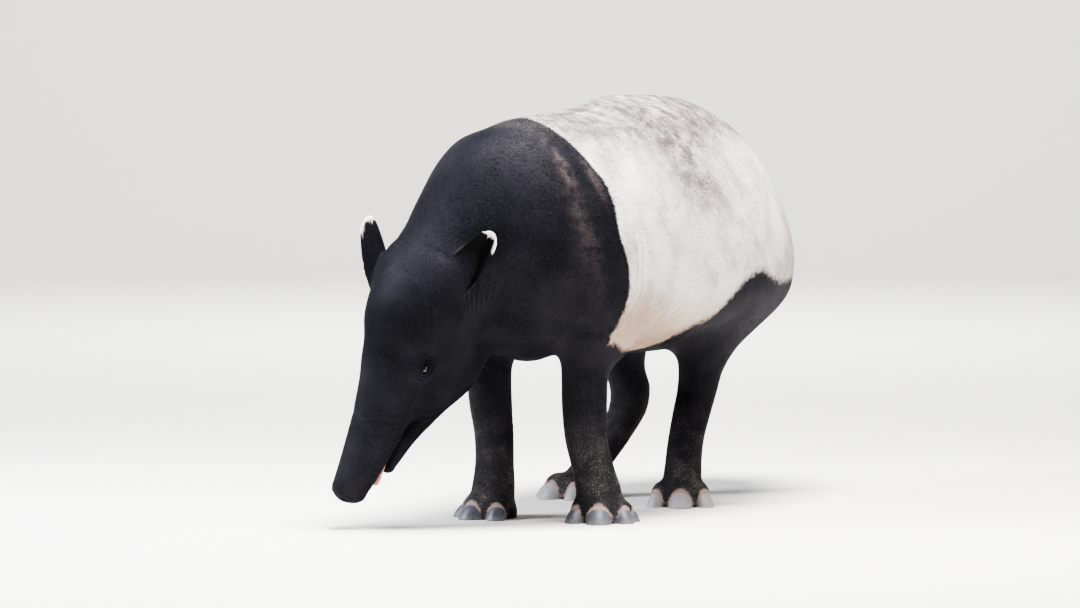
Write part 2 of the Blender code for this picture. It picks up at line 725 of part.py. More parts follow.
def part_head(flesh):
    """Cuts the head off, with room for eyes, nostrils, ears and tongue, and returns the rest."""
    head = cut(flesh, half_space(*HEAD_CUT), "INTERSECT")
    rest = cut(flesh, half_space(*HEAD_CUT, -PART_GAP), "DIFFERENCE")
    for side, outside in (("left", 1), ("right", -1)):
        eye = [EYE_RADIUS] * 3
        head = cut(head, shell_mesh("eye", head_ball(EYE_SPOT, eye, outside, PART_GAP)), "DIFFERENCE")
        nostril = head_ball(NOSTRIL_SPOT, NOSTRIL_RADII, outside, rows=6)
        head = cut(head, shell_mesh("nostril", nostril), "DIFFERENCE")
        ear = shell_mesh("ear", ear_rings(side, PART_GAP))
        head = main_body(cut(head, ear, "DIFFERENCE"))
        rest = main_body(cut(rest, ear, "DIFFERENCE"))
        place(f"eye_{side}", shell_mesh("eye", head_ball(EYE_SPOT, eye, outside)), "eye_wet")
        place(f"ear_{side}", shell_mesh("ear", ear_rings(side)), "ear_hide")
    head = cut(head, shell_mesh("tongue", tongue_rings(PART_GAP)), "DIFFERENCE")
    place("tongue", shell_mesh("tongue", tongue_rings()), "tongue_wet")
    place("head", head, "black_hide")
    return rest


def main():
    for obj in list(bpy.data.objects):
        bpy.data.objects.remove(obj)
    rest = part_head(part_legs(flesh_mesh(body_field())))
    place("neck", cut(rest, half_space(*NECK_CUT), "INTERSECT"), "black_hide")
    trunk = cut(rest, half_space(*NECK_CUT, -PART_GAP), "DIFFERENCE")
    trunk = cut(trunk, shell_mesh("tail", tail_rings(PART_GAP)), "DIFFERENCE")
    place("trunk", trunk, "white_hide")
    place("tail", shell_mesh("tail", tail_rings()), "black_hide")


main()
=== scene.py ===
"""The looks of a life-size still model of a Malayan tapir.

One skin with folds, lids, nostrils, ears and tail stands for all the flesh of the solid model. A short coat
of solid tufts lies over it, and the eyes, the tongue and the fourteen hooves are pieces of their own.
Lengths are in metres, +X is ahead, +Y the animal's left and +Z up. Shapes are worked out round the animal's
own zero and are moved by -MIDDLE at the end, to where the solid model stands.
"""

import math

import bmesh
import bpy
import numpy as np
from bpy.props import FloatProperty, FloatVectorProperty, IntProperty, PointerProperty
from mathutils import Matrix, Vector


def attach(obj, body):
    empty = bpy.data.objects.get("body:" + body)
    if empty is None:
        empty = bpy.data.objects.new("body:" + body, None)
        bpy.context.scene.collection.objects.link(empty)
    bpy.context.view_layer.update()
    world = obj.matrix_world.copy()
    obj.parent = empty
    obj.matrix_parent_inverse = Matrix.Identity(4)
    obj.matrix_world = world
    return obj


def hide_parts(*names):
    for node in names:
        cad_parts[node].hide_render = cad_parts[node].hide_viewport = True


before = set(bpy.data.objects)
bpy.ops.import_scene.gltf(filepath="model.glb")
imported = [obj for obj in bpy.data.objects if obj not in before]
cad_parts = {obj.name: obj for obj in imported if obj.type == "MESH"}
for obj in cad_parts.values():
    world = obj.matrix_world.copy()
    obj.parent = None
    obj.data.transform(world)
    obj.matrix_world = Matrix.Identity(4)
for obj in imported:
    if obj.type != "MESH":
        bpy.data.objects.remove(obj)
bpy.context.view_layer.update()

bl_info = {
    "name": "Malayan Tapir Model",
    "version": (1, 0, 0),
    "blender": (4, 5, 0),
    "location": "3D View > Sidebar > Tapir",
    "description": "Skin, coat, eyes, tongue, hooves and stage of a life-size Malayan tapir",
    "category": "Object",
}

SEED = 7

# ---- sizes of the body, as in the solid model ------------------------------------------------------------
MIDDLE = np.array((0.0535, -0.0035, 0.0))  # the spot that is the model's origin

# Trunk: station along X, height of the widest line, reach above it, reach below it, half width
TRUNK = (
    (-0.700, 0.700, 0.045, 0.050, 0.045),
    (-0.685, 0.695, 0.090, 0.075, 0.085),
    (-0.650, 0.680, 0.155, 0.110, 0.130),
    (-0.580, 0.655, 0.250, 0.140, 0.178),
    (-0.460, 0.625, 0.346, 0.160, 0.238),
    (-0.300, 0.610, 0.402, 0.195, 0.288),
    (-0.100, 0.605, 0.417, 0.222, 0.312),
    (0.040, 0.605, 0.413, 0.222, 0.306),
    (0.160, 0.610, 0.390, 0.218, 0.290),
    (0.280, 0.620, 0.350, 0.218, 0.258),
    (0.400, 0.640, 0.311, 0.225, 0.215),
    (0.500, 0.655, 0.266, 0.210, 0.170),
    (0.560, 0.665, 0.196, 0.172, 0.132),
    (0.600, 0.670, 0.126, 0.118, 0.088),
    (0.622, 0.672, 0.060, 0.058, 0.044),
)
TRUNK_CAPS = (0.012, 0.018)
TRUNK_POWERS = (1.75, 2.25)

# Neck: station from the withers to the poll, lift of the middle, reach above, reach below, half width
NECK_START = (0.36, 0.00, 0.705)
NECK_END = (0.70, -0.125, 0.600)
NECK = (
    (-0.18, -0.040, 0.208, 0.200, 0.150),
    (-0.06, 0.000, 0.226, 0.230, 0.172),
    (0.06, 0.018, 0.238, 0.240, 0.180),
    (0.16, 0.038, 0.232, 0.235, 0.172),
    (0.28, 0.022, 0.172, 0.192, 0.142),
    (0.37, -0.015, 0.124, 0.150, 0.118),
    (0.42, -0.038, 0.094, 0.108, 0.096),
    (0.452, -0.056, 0.050, 0.058, 0.058),
)
NECK_CAPS = (0.06, 0.015)

# Head: station from inside the poll to the tip of the nose, then as above
POLL = (0.70, -0.135, 0.612)
NOSE_WAY = (0.20, -0.27, -0.944)
LEFT_WAY = (0.28, 0.93, -0.22)
HEAD = (
    (-0.050, -0.030, 0.038, 0.050, 0.048),
    (-0.030, -0.034, 0.068, 0.078, 0.076),
    (0.000, -0.040, 0.095, 0.110, 0.097),
    (0.080, -0.055, 0.133, 0.142, 0.115),
    (0.150, -0.066, 0.147, 0.150, 0.116),
    (0.215, -0.066, 0.135, 0.150, 0.104),
    (0.285, -0.060, 0.107, 0.118, 0.086),
    (0.353, -0.034, 0.071, 0.078, 0.065),
    (0.420, -0.020, 0.049, 0.075, 0.055),
    (0.490, -0.014, 0.037, 0.066, 0.048),
    (0.545, -0.011, 0.035, 0.049, 0.042),
)
HEAD_CAPS = (0.010, 0.033)
HEAD_POWERS = (2.0, 2.2)
JAW = (
    (0.060, -0.185, 0.060, 0.055, 0.072),
    (0.150, -0.205, 0.065, 0.060, 0.084),
    (0.230, -0.192, 0.060, 0.062, 0.071),
    (0.320, -0.153, 0.038, 0.044, 0.049),
    (0.400, -0.122, 0.026, 0.030, 0.034),
    (0.465, -0.110, 0.012, 0.017, 0.021),
)
JAW_CAPS = (0.05, 0.020)

# Legs: station up from the floor, reach ahead, reach behind, half width
FRONT_LEG = (
    (0.000, 0.052, 0.046, 0.052),
    (0.040, 0.054, 0.048, 0.055),
    (0.080, 0.050, 0.047, 0.054),
    (0.130, 0.044, 0.043, 0.051),
    (0.200, 0.045, 0.044, 0.052),
    (0.270, 0.052, 0.050, 0.055),
    (0.340, 0.054, 0.054, 0.056),
    (0.430, 0.070, 0.062, 0.062),
    (0.540, 0.110, 0.120, 0.078),
    (0.700, 0.105, 0.135, 0.070),
    (0.840, 0.070, 0.080, 0.050),
)
HIND_LEG = (
    (0.000, 0.052, 0.044, 0.050),
    (0.040, 0.052, 0.045, 0.050),
    (0.080, 0.044, 0.043, 0.047),
    (0.150, 0.040, 0.040, 0.046),
    (0.225, 0.042, 0.048, 0.049),
    (0.275, 0.048, 0.054, 0.051),
    (0.330, 0.060, 0.060, 0.055),
    (0.385, 0.112, 0.108, 0.065),
    (0.430, 0.165, 0.170, 0.080),
    (0.500, 0.225, 0.240, 0.098),
    (0.600, 0.250, 0.225, 0.106),
    (0.720, 0.200, 0.170, 0.092),
    (0.840, 0.110, 0.100, 0.040),
)
# Middle line of each leg: height, X, Y, and the way it points in degrees to the left of ahead
LEG_PATHS = {
    "front_left": (
        (0.00, 0.350, 0.152, 26.0), (0.08, 0.350, 0.145, 24.0), (0.18, 0.378, 0.131, 18.0),
        (0.30, 0.388, 0.128, 12.0), (0.43, 0.384, 0.130, 6.0), (0.84, 0.330, 0.105, 0.0),
    ),
    "front_right": (
        (0.00, 0.392, -0.130, -18.0), (0.08, 0.385, -0.125, -16.0), (0.18, 0.380, -0.126, -14.0),
        (0.30, 0.380, -0.138, -10.0), (0.43, 0.374, -0.146, -6.0), (0.84, 0.330, -0.105, 0.0),
    ),
    "hind_left": (
        (0.00, -0.105, 0.125, 28.0), (0.08, -0.125, 0.120, 26.0), (0.16, -0.155, 0.113, 22.0),
        (0.27, -0.228, 0.104, 14.0), (0.34, -0.230, 0.118, 6.0), (0.43, -0.235, 0.143, 0.0),
        (0.50, -0.280, 0.150, 0.0), (0.60, -0.350, 0.150, 0.0), (0.84, -0.380, 0.105, 0.0),
    ),
    "hind_right": (
        (0.00, -0.155, -0.215, -26.0), (0.08, -0.205, -0.185, -24.0), (0.16, -0.250, -0.142, -20.0),
        (0.25, -0.297, -0.125, -14.0), (0.34, -0.275, -0.136, -6.0), (0.43, -0.250, -0.145, 0.0),
        (0.50, -0.290, -0.150, 0.0), (0.60, -0.350, -0.150, 0.0), (0.84, -0.380, -0.105, 0.0),
    ),
}

# Rounded masses over the frame: middle, way of the long radius, radii along, up and across, blend
MASSES = (
    ((0.350, 0.148, 0.600), (0.15, 0.0, 1.0), (0.230, 0.150, 0.102), 0.05),
    ((0.350, -0.148, 0.600), (0.15, 0.0, 1.0), (0.230, 0.150, 0.102), 0.05),
    ((0.470, 0.000, 0.535), (0.3, 0.0, 1.0), (0.150, 0.090, 0.115), 0.06),
    ((-0.575, 0.064, 0.605), (0.1, 0.0, 1.0), (0.135, 0.085, 0.085), 0.06),
    ((-0.575, -0.064, 0.605), (0.1, 0.0, 1.0), (0.135, 0.085, 0.085), 0.06),
)
# The same in the head's frame: along the nose, to the left, above
HEAD_MASSES = (
    ((0.210, 0.074, -0.026), (0.038, 0.030, 0.030), 0.02),
    ((0.210, -0.074, -0.026), (0.038, 0.030, 0.030), 0.02),
    ((0.012, 0.082, -0.030), (0.040, 0.036, 0.032), 0.03),
    ((0.046, -0.080, 0.004), (0.044, 0.036, 0.034), 0.03),
)
NECK_BLEND, LEG_BLEND, TOE_BLEND, TAIL_BLEND = 0.11, 0.05, 0.020, 0.030
HEAD_BLEND = (0.032, 0.125)  # at the throat, over the poll
JAW_BLEND = (0.009, 0.045)  # at the mouth, behind it
ELBOW_BLEND = (0.016, 0.05)  # at the elbow, at the shoulder
NEAR = 0.13  # how far from a piece it still matters: more than the widest blend

# Toes: reach ahead, reach to the outside, splay outwards in degrees, hoof length, width and height
FRONT_TOES = {
    "middle": (0.064, -0.002, 0.0, 0.066, 0.060, 0.043),
    "inner": (0.036, -0.060, -28.0, 0.056, 0.048, 0.040),
    "outer": (0.034, 0.058, 28.0, 0.056, 0.048, 0.040),
    "small": (-0.012, 0.074, 58.0, 0.044, 0.034, 0.034),
}
HIND_TOES = {
    "middle": (0.066, 0.000, 0.0, 0.066, 0.058, 0.044),
    "inner": (0.036, -0.060, -26.0, 0.056, 0.046, 0.043),
    "outer": (0.036, 0.060, 26.0, 0.056, 0.046, 0.043),
}
HOOF_RAKE = 0.45  # how far a hoof's wall leans back for its height
# The fleshy part of a toe, for its hoof's size: set back, lift, radii along, up and across, slope
TOE_FLESH = (0.42, 0.76, 0.52, 0.54, 0.46, 0.75)
SOLE = (0.012, (0.062, 0.042, 0.060))  # height of the sole's middle, and its radii

# Ears in the head's frame: root, tip, way the cup opens
EARS = {
    "left": ((0.010, 0.090, -0.026), (-0.134, 0.163, -0.022), (0.04, 0.71, 0.70)),
    "right": ((0.050, -0.085, 0.014), (-0.074, -0.151, 0.074), (0.25, -0.88, -0.06)),
}
# An ear's share of its length, half width round the cup, and half angle of the cup in degrees
EAR_SHAPE = (
    (0.00, 0.046, 96.0), (0.15, 0.048, 80.0), (0.35, 0.046, 64.0), (0.55, 0.041, 54.0),
    (0.75, 0.0335, 46.0), (0.88, 0.0270, 41.0), (0.95, 0.0205, 38.0), (0.985, 0.0140, 36.0),
    (1.00, 0.0070, 36.0),
)
EAR_THICK = 0.0060
EAR_SINK = 0.018  # length of the ear's root inside the head
EAR_BLEND = 0.010
EAR_SWELL = 0.0026  # how much fuller an ear's leaf is until the skin's faces are laid out

WRINKLE_SPOT = (-0.003, 0.139, -0.060)  # middle of the wrinkles below an ear, in the head's frame
WRINKLE_ACROSS = (-0.333, 0.672, -0.661)  # the way across them
EYE_RADIUS = 0.0155
EYE_SPOT = (0.219, 0.0905, -0.028)
EYE_SLIT_WAY = (-0.93, 0.0, -0.36)  # the way the slit between the lids runs, in the head's frame
EYE_SLIT = (0.0145, 0.0062)  # half length and half height of the slit
LID_THICK = 0.0026
LID_SNAP = 0.0004  # points closer than this to a lid's edge are drawn onto it
LID_SINK = 0.0015  # how far the skin inside the slit lies under the eyeball's front
NOSTRIL_SPOT = (0.575, 0.0170, 0.002)
NOSTRIL_RADII = (0.013, 0.0060, 0.0085)
TONGUE = (
    (0.385, -0.094, 0.007, 0.007, 0.013),
    (0.450, -0.089, 0.006, 0.006, 0.015),
    (0.508, -0.090, 0.005, 0.005, 0.013),
)
TONGUE_CAPS = (0.010, 0.014)
TAIL_ROOT = (-0.655, 0.0, 0.800)
TAIL_TIP = (-0.722, 0.0, 0.722)
TAIL_RADII = (0.027, 0.026, 0.021, 0.015, 0.008)

# ---- sizes of the skin's faces ---------------------------------------------------------------------------
VOXEL = 0.0092  # a skin face far from the head
SKIN_TRIANGLES = 192000  # what is left of them in the end, closest where the skin bends most
SWELL_SPOT = (0.17, 0.0, -0.03)  # round this spot in the head, space is swollen while the skin is remeshed
SWELL_REACH = 0.42
SWELL = 2.9
FAR = 1.0  # stands for a distance that is too big to matter
FAR_RHO = 100.0  # the same for a rho

# ---- heights of the skin's forms and depths of its folds -------------------------------------------------
EYE_FOLD = 0.0023
BELLY_CREASE = 0.0016
ELBOW_CREASE, ELBOW_ROLL = 0.0036, 0.0018
EAR_WRINKLE = 0.0040
POLL_FILL, FOREHEAD, EYE_HOLLOW = 0.0048, 0.0035, 0.0085
CHEEK_RIDGE, LIP, NOSE_MUSCLE, NOSE_GROOVE = 0.0030, 0.0030, 0.0036, 0.0034
NOSE_RING, NOSE_FOLD = 0.00045, 0.0012
ANKLE_CREASE, WRIST_CREASE, FOREARM_CREASE = 0.0005, 0.0007, 0.0030
WIDE_SWELLING, SMALL_SWELLING = 0.0011, 0.0006

# ---- blended surface -------------------------------------------------------------------------------------


def unit(v):
    return np.asarray(v, float) / np.linalg.norm(v)


def ramp(x, low, high):
    """0 below low, 1 above high, and the smooth step 3t^2 - 2t^3 between them; high may be the lower one."""
    t = np.clip((x - low) / (high - low), 0, 1)
    return t * t * (3 - 2 * t)


def hump(x, middle, width):
    """The bell curve exp(-((x - middle) / width)^2)."""
    return np.exp(-(((x - middle) / width) ** 2))


def close(points, spot, reach):
    """Which points lie closer to a spot than reach."""
    return ((points - spot) ** 2).sum(1) < reach**2


def smooth_table(rows, steps=24):
    """The stations with a smooth curve through them, as a dense table."""
    rows = np.array(rows, float)
    slope = np.gradient(rows, rows[:, 0], axis=0)
    s = np.linspace(0, 1, steps, endpoint=False)[:, None]
    dense = []
    for a, b, slope_a, slope_b in zip(rows, rows[1:], slope, slope[1:]):
        span = b[0] - a[0]
        dense.append(
            (2 * s**3 - 3 * s**2 + 1) * a
            + (s**3 - 2 * s**2 + s) * span * slope_a
            + (3 * s**2 - 2 * s**3) * b
            + (s**3 - s**2) * span * slope_b
        )
    return np.vstack([*dense, rows[-1:]])


class Loft:
    """A tube along a straight axis with its own section at each station and a rounded cap at each end.

    A row holds the station, the middle's offset up and to the side, and the reach up, down and to the side.
    """

    def __init__(self, start, axis, up, rows, caps, powers=(2.0, 2.0)):
        self.start = np.asarray(start, float)
        self.axis = unit(axis)
        self.side = unit(np.cross(up, self.axis))
        self.up = np.cross(self.axis, self.side)
        self.table = smooth_table(rows)
        self.caps = caps
        self.powers = powers
        shell = np.concatenate(self.rings(8, 8))
        self.middle = shell.mean(0)
        self.reach = np.linalg.norm(shell - self.middle, axis=1).max() + NEAR

    def near(self, points):
        """Which points lie so close that the piece can matter to them."""
        return close(points, self.middle, self.reach)

    def at(self, t):
        return [np.interp(t, self.table[:, 0], column) for column in self.table.T[1:]]

    def split(self, points):
        """Overshoot past the ends, offsets up and sideways, and the three reaches, for each point."""
        q = points - self.start
        t = q @ self.axis
        kept = np.clip(t, self.table[0, 0], self.table[-1, 0])
        mid_up, mid_side, up, down, side = self.at(kept)
        return kept, t - kept, q @ self.up - mid_up, q @ self.side - mid_side, up, down, side

    def distance(self, points):
        """|p| (1 - 1 / rho): how far points lie outside, where rho is 1 on the tube and grows outwards."""
        _, over, du, ds, up, down, side = self.split(points)
        reach = np.where(du > 0, up, down)
        cap = np.where(over > 0, self.caps[1], self.caps[0])
        n = self.powers[1] + (self.powers[0] - self.powers[1]) * ramp(du / reach, -0.35, 0.35)
        rho = (np.abs(du / reach) ** n + np.abs(ds / side) ** n + np.abs(over / cap) ** n) ** (1 / n)
        length = np.sqrt(du**2 + ds**2 + over**2)
        return length - length / np.maximum(rho, 1e-6)

    def chart(self, points):
        """Two numbers from 0 to 1 for each point: share along the tube and share of the way round it."""
        kept, over, du, ds, *_ = self.split(points)
        first, last = self.table[0, 0] - self.caps[0], self.table[-1, 0] + self.caps[1]
        return (kept + over - first) / (last - first), np.arctan2(ds, du) / (2 * math.pi) + 0.5

    def rings(self, around=20, along=26):
        """Rings over the tube and its caps.

        A point is middle(t) + up * reach_up(t) sin(a) + side * half_width(t) cos(a).
        """
        first, last = self.table[0, 0], self.table[-1, 0]
        turn = np.linspace(0, 2 * math.pi, around, endpoint=False)
        stations = [(first, -math.sin(a), math.cos(a)) for a in np.linspace(1.35, 0.3, 4)]
        stations += [(t, 0.0, 1.0) for t in np.linspace(first, last, along)]
        stations += [(last, math.sin(a), math.cos(a)) for a in np.linspace(0.3, 1.35, 4)]
        found = []
        for t, beyond, size in stations:
            mid_up, mid_side, up, down, side = self.at(t)
            cap = self.caps[1] if beyond > 0 else self.caps[0]
            rise = np.where(np.sin(turn) > 0, up, down) * np.sin(turn) * size + mid_up
            out = side * np.cos(turn) * size + mid_side
            middle = self.start + self.axis * (t + cap * beyond)
            found.append(middle + np.outer(rise, self.up) + np.outer(out, self.side))
        return found


class TurnedLoft(Loft):
    """A loft up from the floor whose sections turn about the upright with the way the leg points."""

    def __init__(self, rows, path):
        super().__init__((0, 0, 0), (0, 0, 1), (1, 0, 0), rows, (0.02, 0.05))
        self.path = path

    def split(self, points):
        t, over, du, ds, up, down, side = super().split(points)
        turn = np.radians(np.interp(t, self.path[:, 0], self.path[:, 3]))
        cos, sin = np.cos(turn), np.sin(turn)
        return t, over, du * cos - ds * sin, du * sin + ds * cos, up, down, side


def mass(middle, axis, up, radii):
    """A rounded mass: an ellipsoid with its radii along axis, up and to the side."""
    along, tall, wide = radii
    rows = ((-0.002, 0.0, 0.0, tall, tall, wide), (0.002, 0.0, 0.0, tall, tall, wide))
    return Loft(middle, axis, up, rows, (along, along))


def melt(a, b, width):
    """Union of two distances, min(a, b) rounded off by a parabola where they differ by less than width."""
    share = np.clip(0.5 + 0.5 * (b - a) / width, 0, 1)
    return b * (1 - share) + a * share - width * share * (1 - share)


def carve(a, tool, width):
    """What is left of a outside the tool, with an edge rounded in the same way."""
    return -melt(-a, tool, width)


def centred(rows):
    """Rows of station, middle, reach above, reach below, half width, with the middle on the centre line."""
    return [(t, middle, 0.0, above, below, side) for t, middle, above, below, side in rows]


def head_frame():
    """Nose, left and upper directions of the head, square to each other."""
    nose = unit(NOSE_WAY)
    left = unit(np.array(LEFT_WAY) - nose * (np.array(LEFT_WAY) @ nose))
    return np.array((nose, left, np.cross(nose, left)))


HEAD_FRAME = head_frame()


def head_way(v):
    """A direction in the head's frame (along the nose, left, above) as one in the animal's frame."""
    return np.array(v, float) @ HEAD_FRAME


def in_head(spot):
    return np.array(POLL) + head_way(spot)


def from_head(points):
    """Points in the head's frame."""
    return (points - np.array(POLL)) @ HEAD_FRAME.T


def head_loft(rows, caps, powers=(2.0, 2.0)):
    nose, _, top = HEAD_FRAME
    return Loft(POLL, nose, top, centred(rows), caps, powers)


def leg_point(name, z):
    """Middle line of a leg at a height: X, Y and the way the leg points in degrees."""
    path = smooth_table(LEG_PATHS[name])
    return [float(np.interp(z, path[:, 0], column)) for column in path.T[1:]]


def leg_loft(name):
    """A leg as level sections up a bent middle line; a slanted stretch has longer sections."""
    rows = []
    step = 0.01
    for z, ahead, behind, side in FRONT_LEG if name.startswith("front") else HIND_LEG:
        x, y, _ = leg_point(name, z)
        x_up, y_up, _ = leg_point(name, z + step)
        longer, wider = math.hypot(1, (x_up - x) / step), math.hypot(1, (y_up - y) / step)
        rows.append((z, x, -y, ahead * longer, behind * longer, side * wider))
    return TurnedLoft(rows, smooth_table(LEG_PATHS[name]))


def toe_places(name):
    """Each toe of a foot: its name, spot on the floor, heading in radians, hoof length, width and height."""
    x, y, heading = leg_point(name, 0.0)
    outside = 1 if name.endswith("left") else -1
    for toe, (ahead, out, splay, *size) in (FRONT_TOES if name.startswith("front") else HIND_TOES).items():
        turn = math.radians(heading)
        spot = np.array((x, y, 0.0))
        spot += ahead * np.array((math.cos(turn), math.sin(turn), 0.0))
        spot += outside * out * np.array((-math.sin(turn), math.cos(turn), 0.0))
        yield toe, spot, turn + outside * math.radians(splay), size


def toe_masses(name):
    """The fleshy part of each toe, which leans from the foot down to the back of its hoof, and the sole."""
    x, y, heading = leg_point(name, 0.0)
    for _, spot, turn, (length, width, height) in toe_places(name):
        ahead = np.array((math.cos(turn), math.sin(turn), 0.0))
        back, lift, along, tall, wide, slope = TOE_FLESH
        middle = spot - ahead * back * length + np.array((0.0, 0.0, lift * height))
        radii = (along * length, tall * height, wide * width)
        yield mass(middle, ahead - np.array((0, 0, slope)), (0, 0, 1), radii)
    turn = math.radians(heading)
    way = (math.cos(turn), math.sin(turn), 0.0)
    yield mass((x, y, SOLE[0]), way, (0, 0, 1), SOLE[1])


def tail_loft():
    start, end = np.array(TAIL_ROOT), np.array(TAIL_TIP)
    stations = np.linspace(0, np.linalg.norm(end - start), len(TAIL_RADII))
    rows = [(t, 0.0, r, r, r) for t, r in zip(stations, TAIL_RADII)]
    return Loft(start, end - start, (1, 0, 0), centred(rows), (0.02, TAIL_RADII[-1]))


class Ear:
    """A leaf of even thickness, bent round its length into a cup, as a distance.

    At a share s of its length the leaf is an arc of radius half_width(s) / bend(s) and half angle bend(s);
    the distance is that to the nearest point of the arc, less half the thickness.
    """

    def __init__(self, side):
        root, tip, opening = EARS[side]
        start, end = in_head(root), in_head(tip)
        self.way = unit(end - start)
        face = head_way(opening)
        self.face = unit(face - self.way * (face @ self.way))
        self.across = np.cross(self.way, self.face)
        self.start = start - self.way * EAR_SINK
        self.length = np.linalg.norm(end - self.start)
        self.table = smooth_table(EAR_SHAPE, 8)
        self.middle = (self.start + end) / 2
        self.reach = self.length * 0.75

    def near(self, points):
        return close(points, self.middle, self.reach)

    def at(self, share):
        half, bend = (np.interp(share, self.table[:, 0], column) for column in self.table.T[1:])
        bend = np.radians(bend)
        return half / bend, bend

    def split(self, points):
        """Share along the ear, overshoot in metres, offsets across and towards the opening, angle, bend."""
        q = points - self.start
        share = q @ self.way / self.length
        kept = np.clip(share, 0, 1)
        radius, bend = self.at(kept)
        a, f = q @ self.across, q @ self.face
        angle = np.arctan2(a, radius - f)
        return kept, (share - kept) * self.length, a, f, radius, angle, bend

    def distance(self, points, extra=0.0):
        kept, over, a, f, radius, angle, bend = self.split(points)
        near = np.clip(angle, -bend, bend)
        off = np.sqrt((a - radius * np.sin(near)) ** 2 + (f - radius + radius * np.cos(near)) ** 2 + over**2)
        return off - EAR_THICK * (1 - 0.5 * kept) / 2 - extra

    def chart(self, points):
        kept, over, _, _, _, angle, _ = self.split(points)
        return np.clip(kept + over / self.length, 0, 1), angle / (2 * math.pi) + 0.5

    def rings(self, thick):
        """Rings round the leaf's section, at even shares of its length."""
        rings = []
        for share in np.linspace(0, 1, 14):
            radius, bend = self.at(share)
            angles = np.linspace(-bend, bend, 12)
            centre = self.start + self.way * self.length * share + self.face * radius
            out = np.concatenate([np.full(12, thick / 2), np.full(12, -thick / 2)])
            a = np.concatenate([angles, angles[::-1]])
            r = (radius + out)[:, None]
            rings.append(centre + r * (np.outer(np.sin(a), self.across) - np.outer(np.cos(a), self.face)))
        return rings


class Eye:
    """Where an eyeball sits, with the directions out of the head, along the slit and across it."""

    def __init__(self, outside):
        along, left, above = EYE_SPOT
        self.middle = in_head((along, left * outside, above))
        out = self.middle - in_head((along, 0.0, above - 0.035))
        self.out = unit(out)
        slit = head_way((EYE_SLIT_WAY[0], EYE_SLIT_WAY[1] * outside, EYE_SLIT_WAY[2]))
        self.slit = unit(slit - self.out * (slit @ self.out))
        self.lift = np.cross(self.out, self.slit) * (1 if outside > 0 else -1)

    def split(self, points):
        q = points - self.middle
        return q @ self.out, q @ self.slit, q @ self.lift


def head_blend(points):
    return HEAD_BLEND[0] + (HEAD_BLEND[1] - HEAD_BLEND[0]) * ramp(from_head(points)[:, 2], -0.07, 0.05)


def jaw_blend(points):
    return JAW_BLEND[0] + (JAW_BLEND[1] - JAW_BLEND[0]) * ramp(from_head(points)[:, 0], 0.38, 0.22)


def elbow_blend(points):
    return ELBOW_BLEND[0] + (ELBOW_BLEND[1] - ELBOW_BLEND[0]) * ramp(points[:, 2], 0.43, 0.53)


def body_pieces():
    """The pieces of flesh in the order they melt together, each with the width of its blend or a function."""
    nose, _, top = HEAD_FRAME
    way = np.array(NECK_END) - np.array(NECK_START)
    field = [
        (Loft((0, 0, 0), (1, 0, 0), (0, 0, 1), centred(TRUNK), TRUNK_CAPS, TRUNK_POWERS), 1e-6),
        (Loft(NECK_START, way, (0, 0, 1), centred(NECK), NECK_CAPS), NECK_BLEND),
        (head_loft(HEAD, HEAD_CAPS, HEAD_POWERS), head_blend),
        (head_loft(JAW, JAW_CAPS), jaw_blend),
    ]
    field += [(mass(in_head(spot), nose, top, radii), blend) for spot, radii, blend in HEAD_MASSES]
    field += [(leg_loft(name), elbow_blend if name.startswith("front") else LEG_BLEND) for name in LEG_PATHS]
    field += [(mass(middle, way, (1, 0, 0), radii), blend) for middle, way, radii, blend in MASSES]
    field += [(toe, TOE_BLEND) for name in LEG_PATHS for toe in toe_masses(name)]
    field += [(tail_loft(), TAIL_BLEND)]
    return field


FLESH = body_pieces()
EYES = {"left": Eye(1), "right": Eye(-1)}
EAR_CUPS = {side: Ear(side) for side in EARS}
LEGS = {name: leg_loft(name) for name in LEG_PATHS}
TOES = [toe for name in LEG_PATHS for toe in toe_places(name)]


def hoof_nearness(points):
    """1 on a hoof's outline and growing outwards, for the nearest hoof: an ellipsoid's rho."""
    least = np.full(len(points), FAR_RHO)
    low = points[:, 2] < 0.12
    for _, spot, turn, (length, width, height) in TOES:
        q = points[low] - spot
        x = q[:, 0] * math.cos(turn) + q[:, 1] * math.sin(turn) + HOOF_RAKE * 0.5 * q[:, 2]
        y = q[:, 1] * math.cos(turn) - q[:, 0] * math.sin(turn)
        rho = np.sqrt((x / (0.5 * length)) ** 2 + (y / (0.5 * width)) ** 2 + (q[:, 2] / height) ** 2)
        least[low] = np.minimum(least[low], rho)
    return least


def coat_depth(points, depth):
    """How deep the skin lies under the tips of the coat: full on the body, almost nothing on bare places."""
    s = from_head(points)
    bare = ramp(s[:, 0], 0.30, 0.50) * ramp(points[:, 0], 0.50, 0.60) * 0.7
    for eye in EYES.values():
        bare = np.maximum(bare, ramp(np.linalg.norm(points - eye.middle, axis=1), 0.050, 0.022))
    bare = np.maximum(bare, ramp(points[:, 2], 0.12, 0.05) * 0.8)
    return depth * (1 - bare)


def stripes(phase, sharp):
    """Narrow valleys at whole numbers of phase: max(0, cos(2 pi phase)) ^ sharp."""
    return np.maximum(np.cos(2 * math.pi * phase), 0) ** sharp


def ripple(points, scale, turn):
    """A slow, irregular wave from -1 to 1, made of two sines across different directions."""
    a = points @ np.array((math.cos(turn), math.sin(turn), 0.6)) * scale
    b = points @ np.array((math.sin(turn), 0.7, -math.cos(turn))) * scale * 0.73
    return 0.5 * (np.sin(a) + np.sin(b + 1.3))


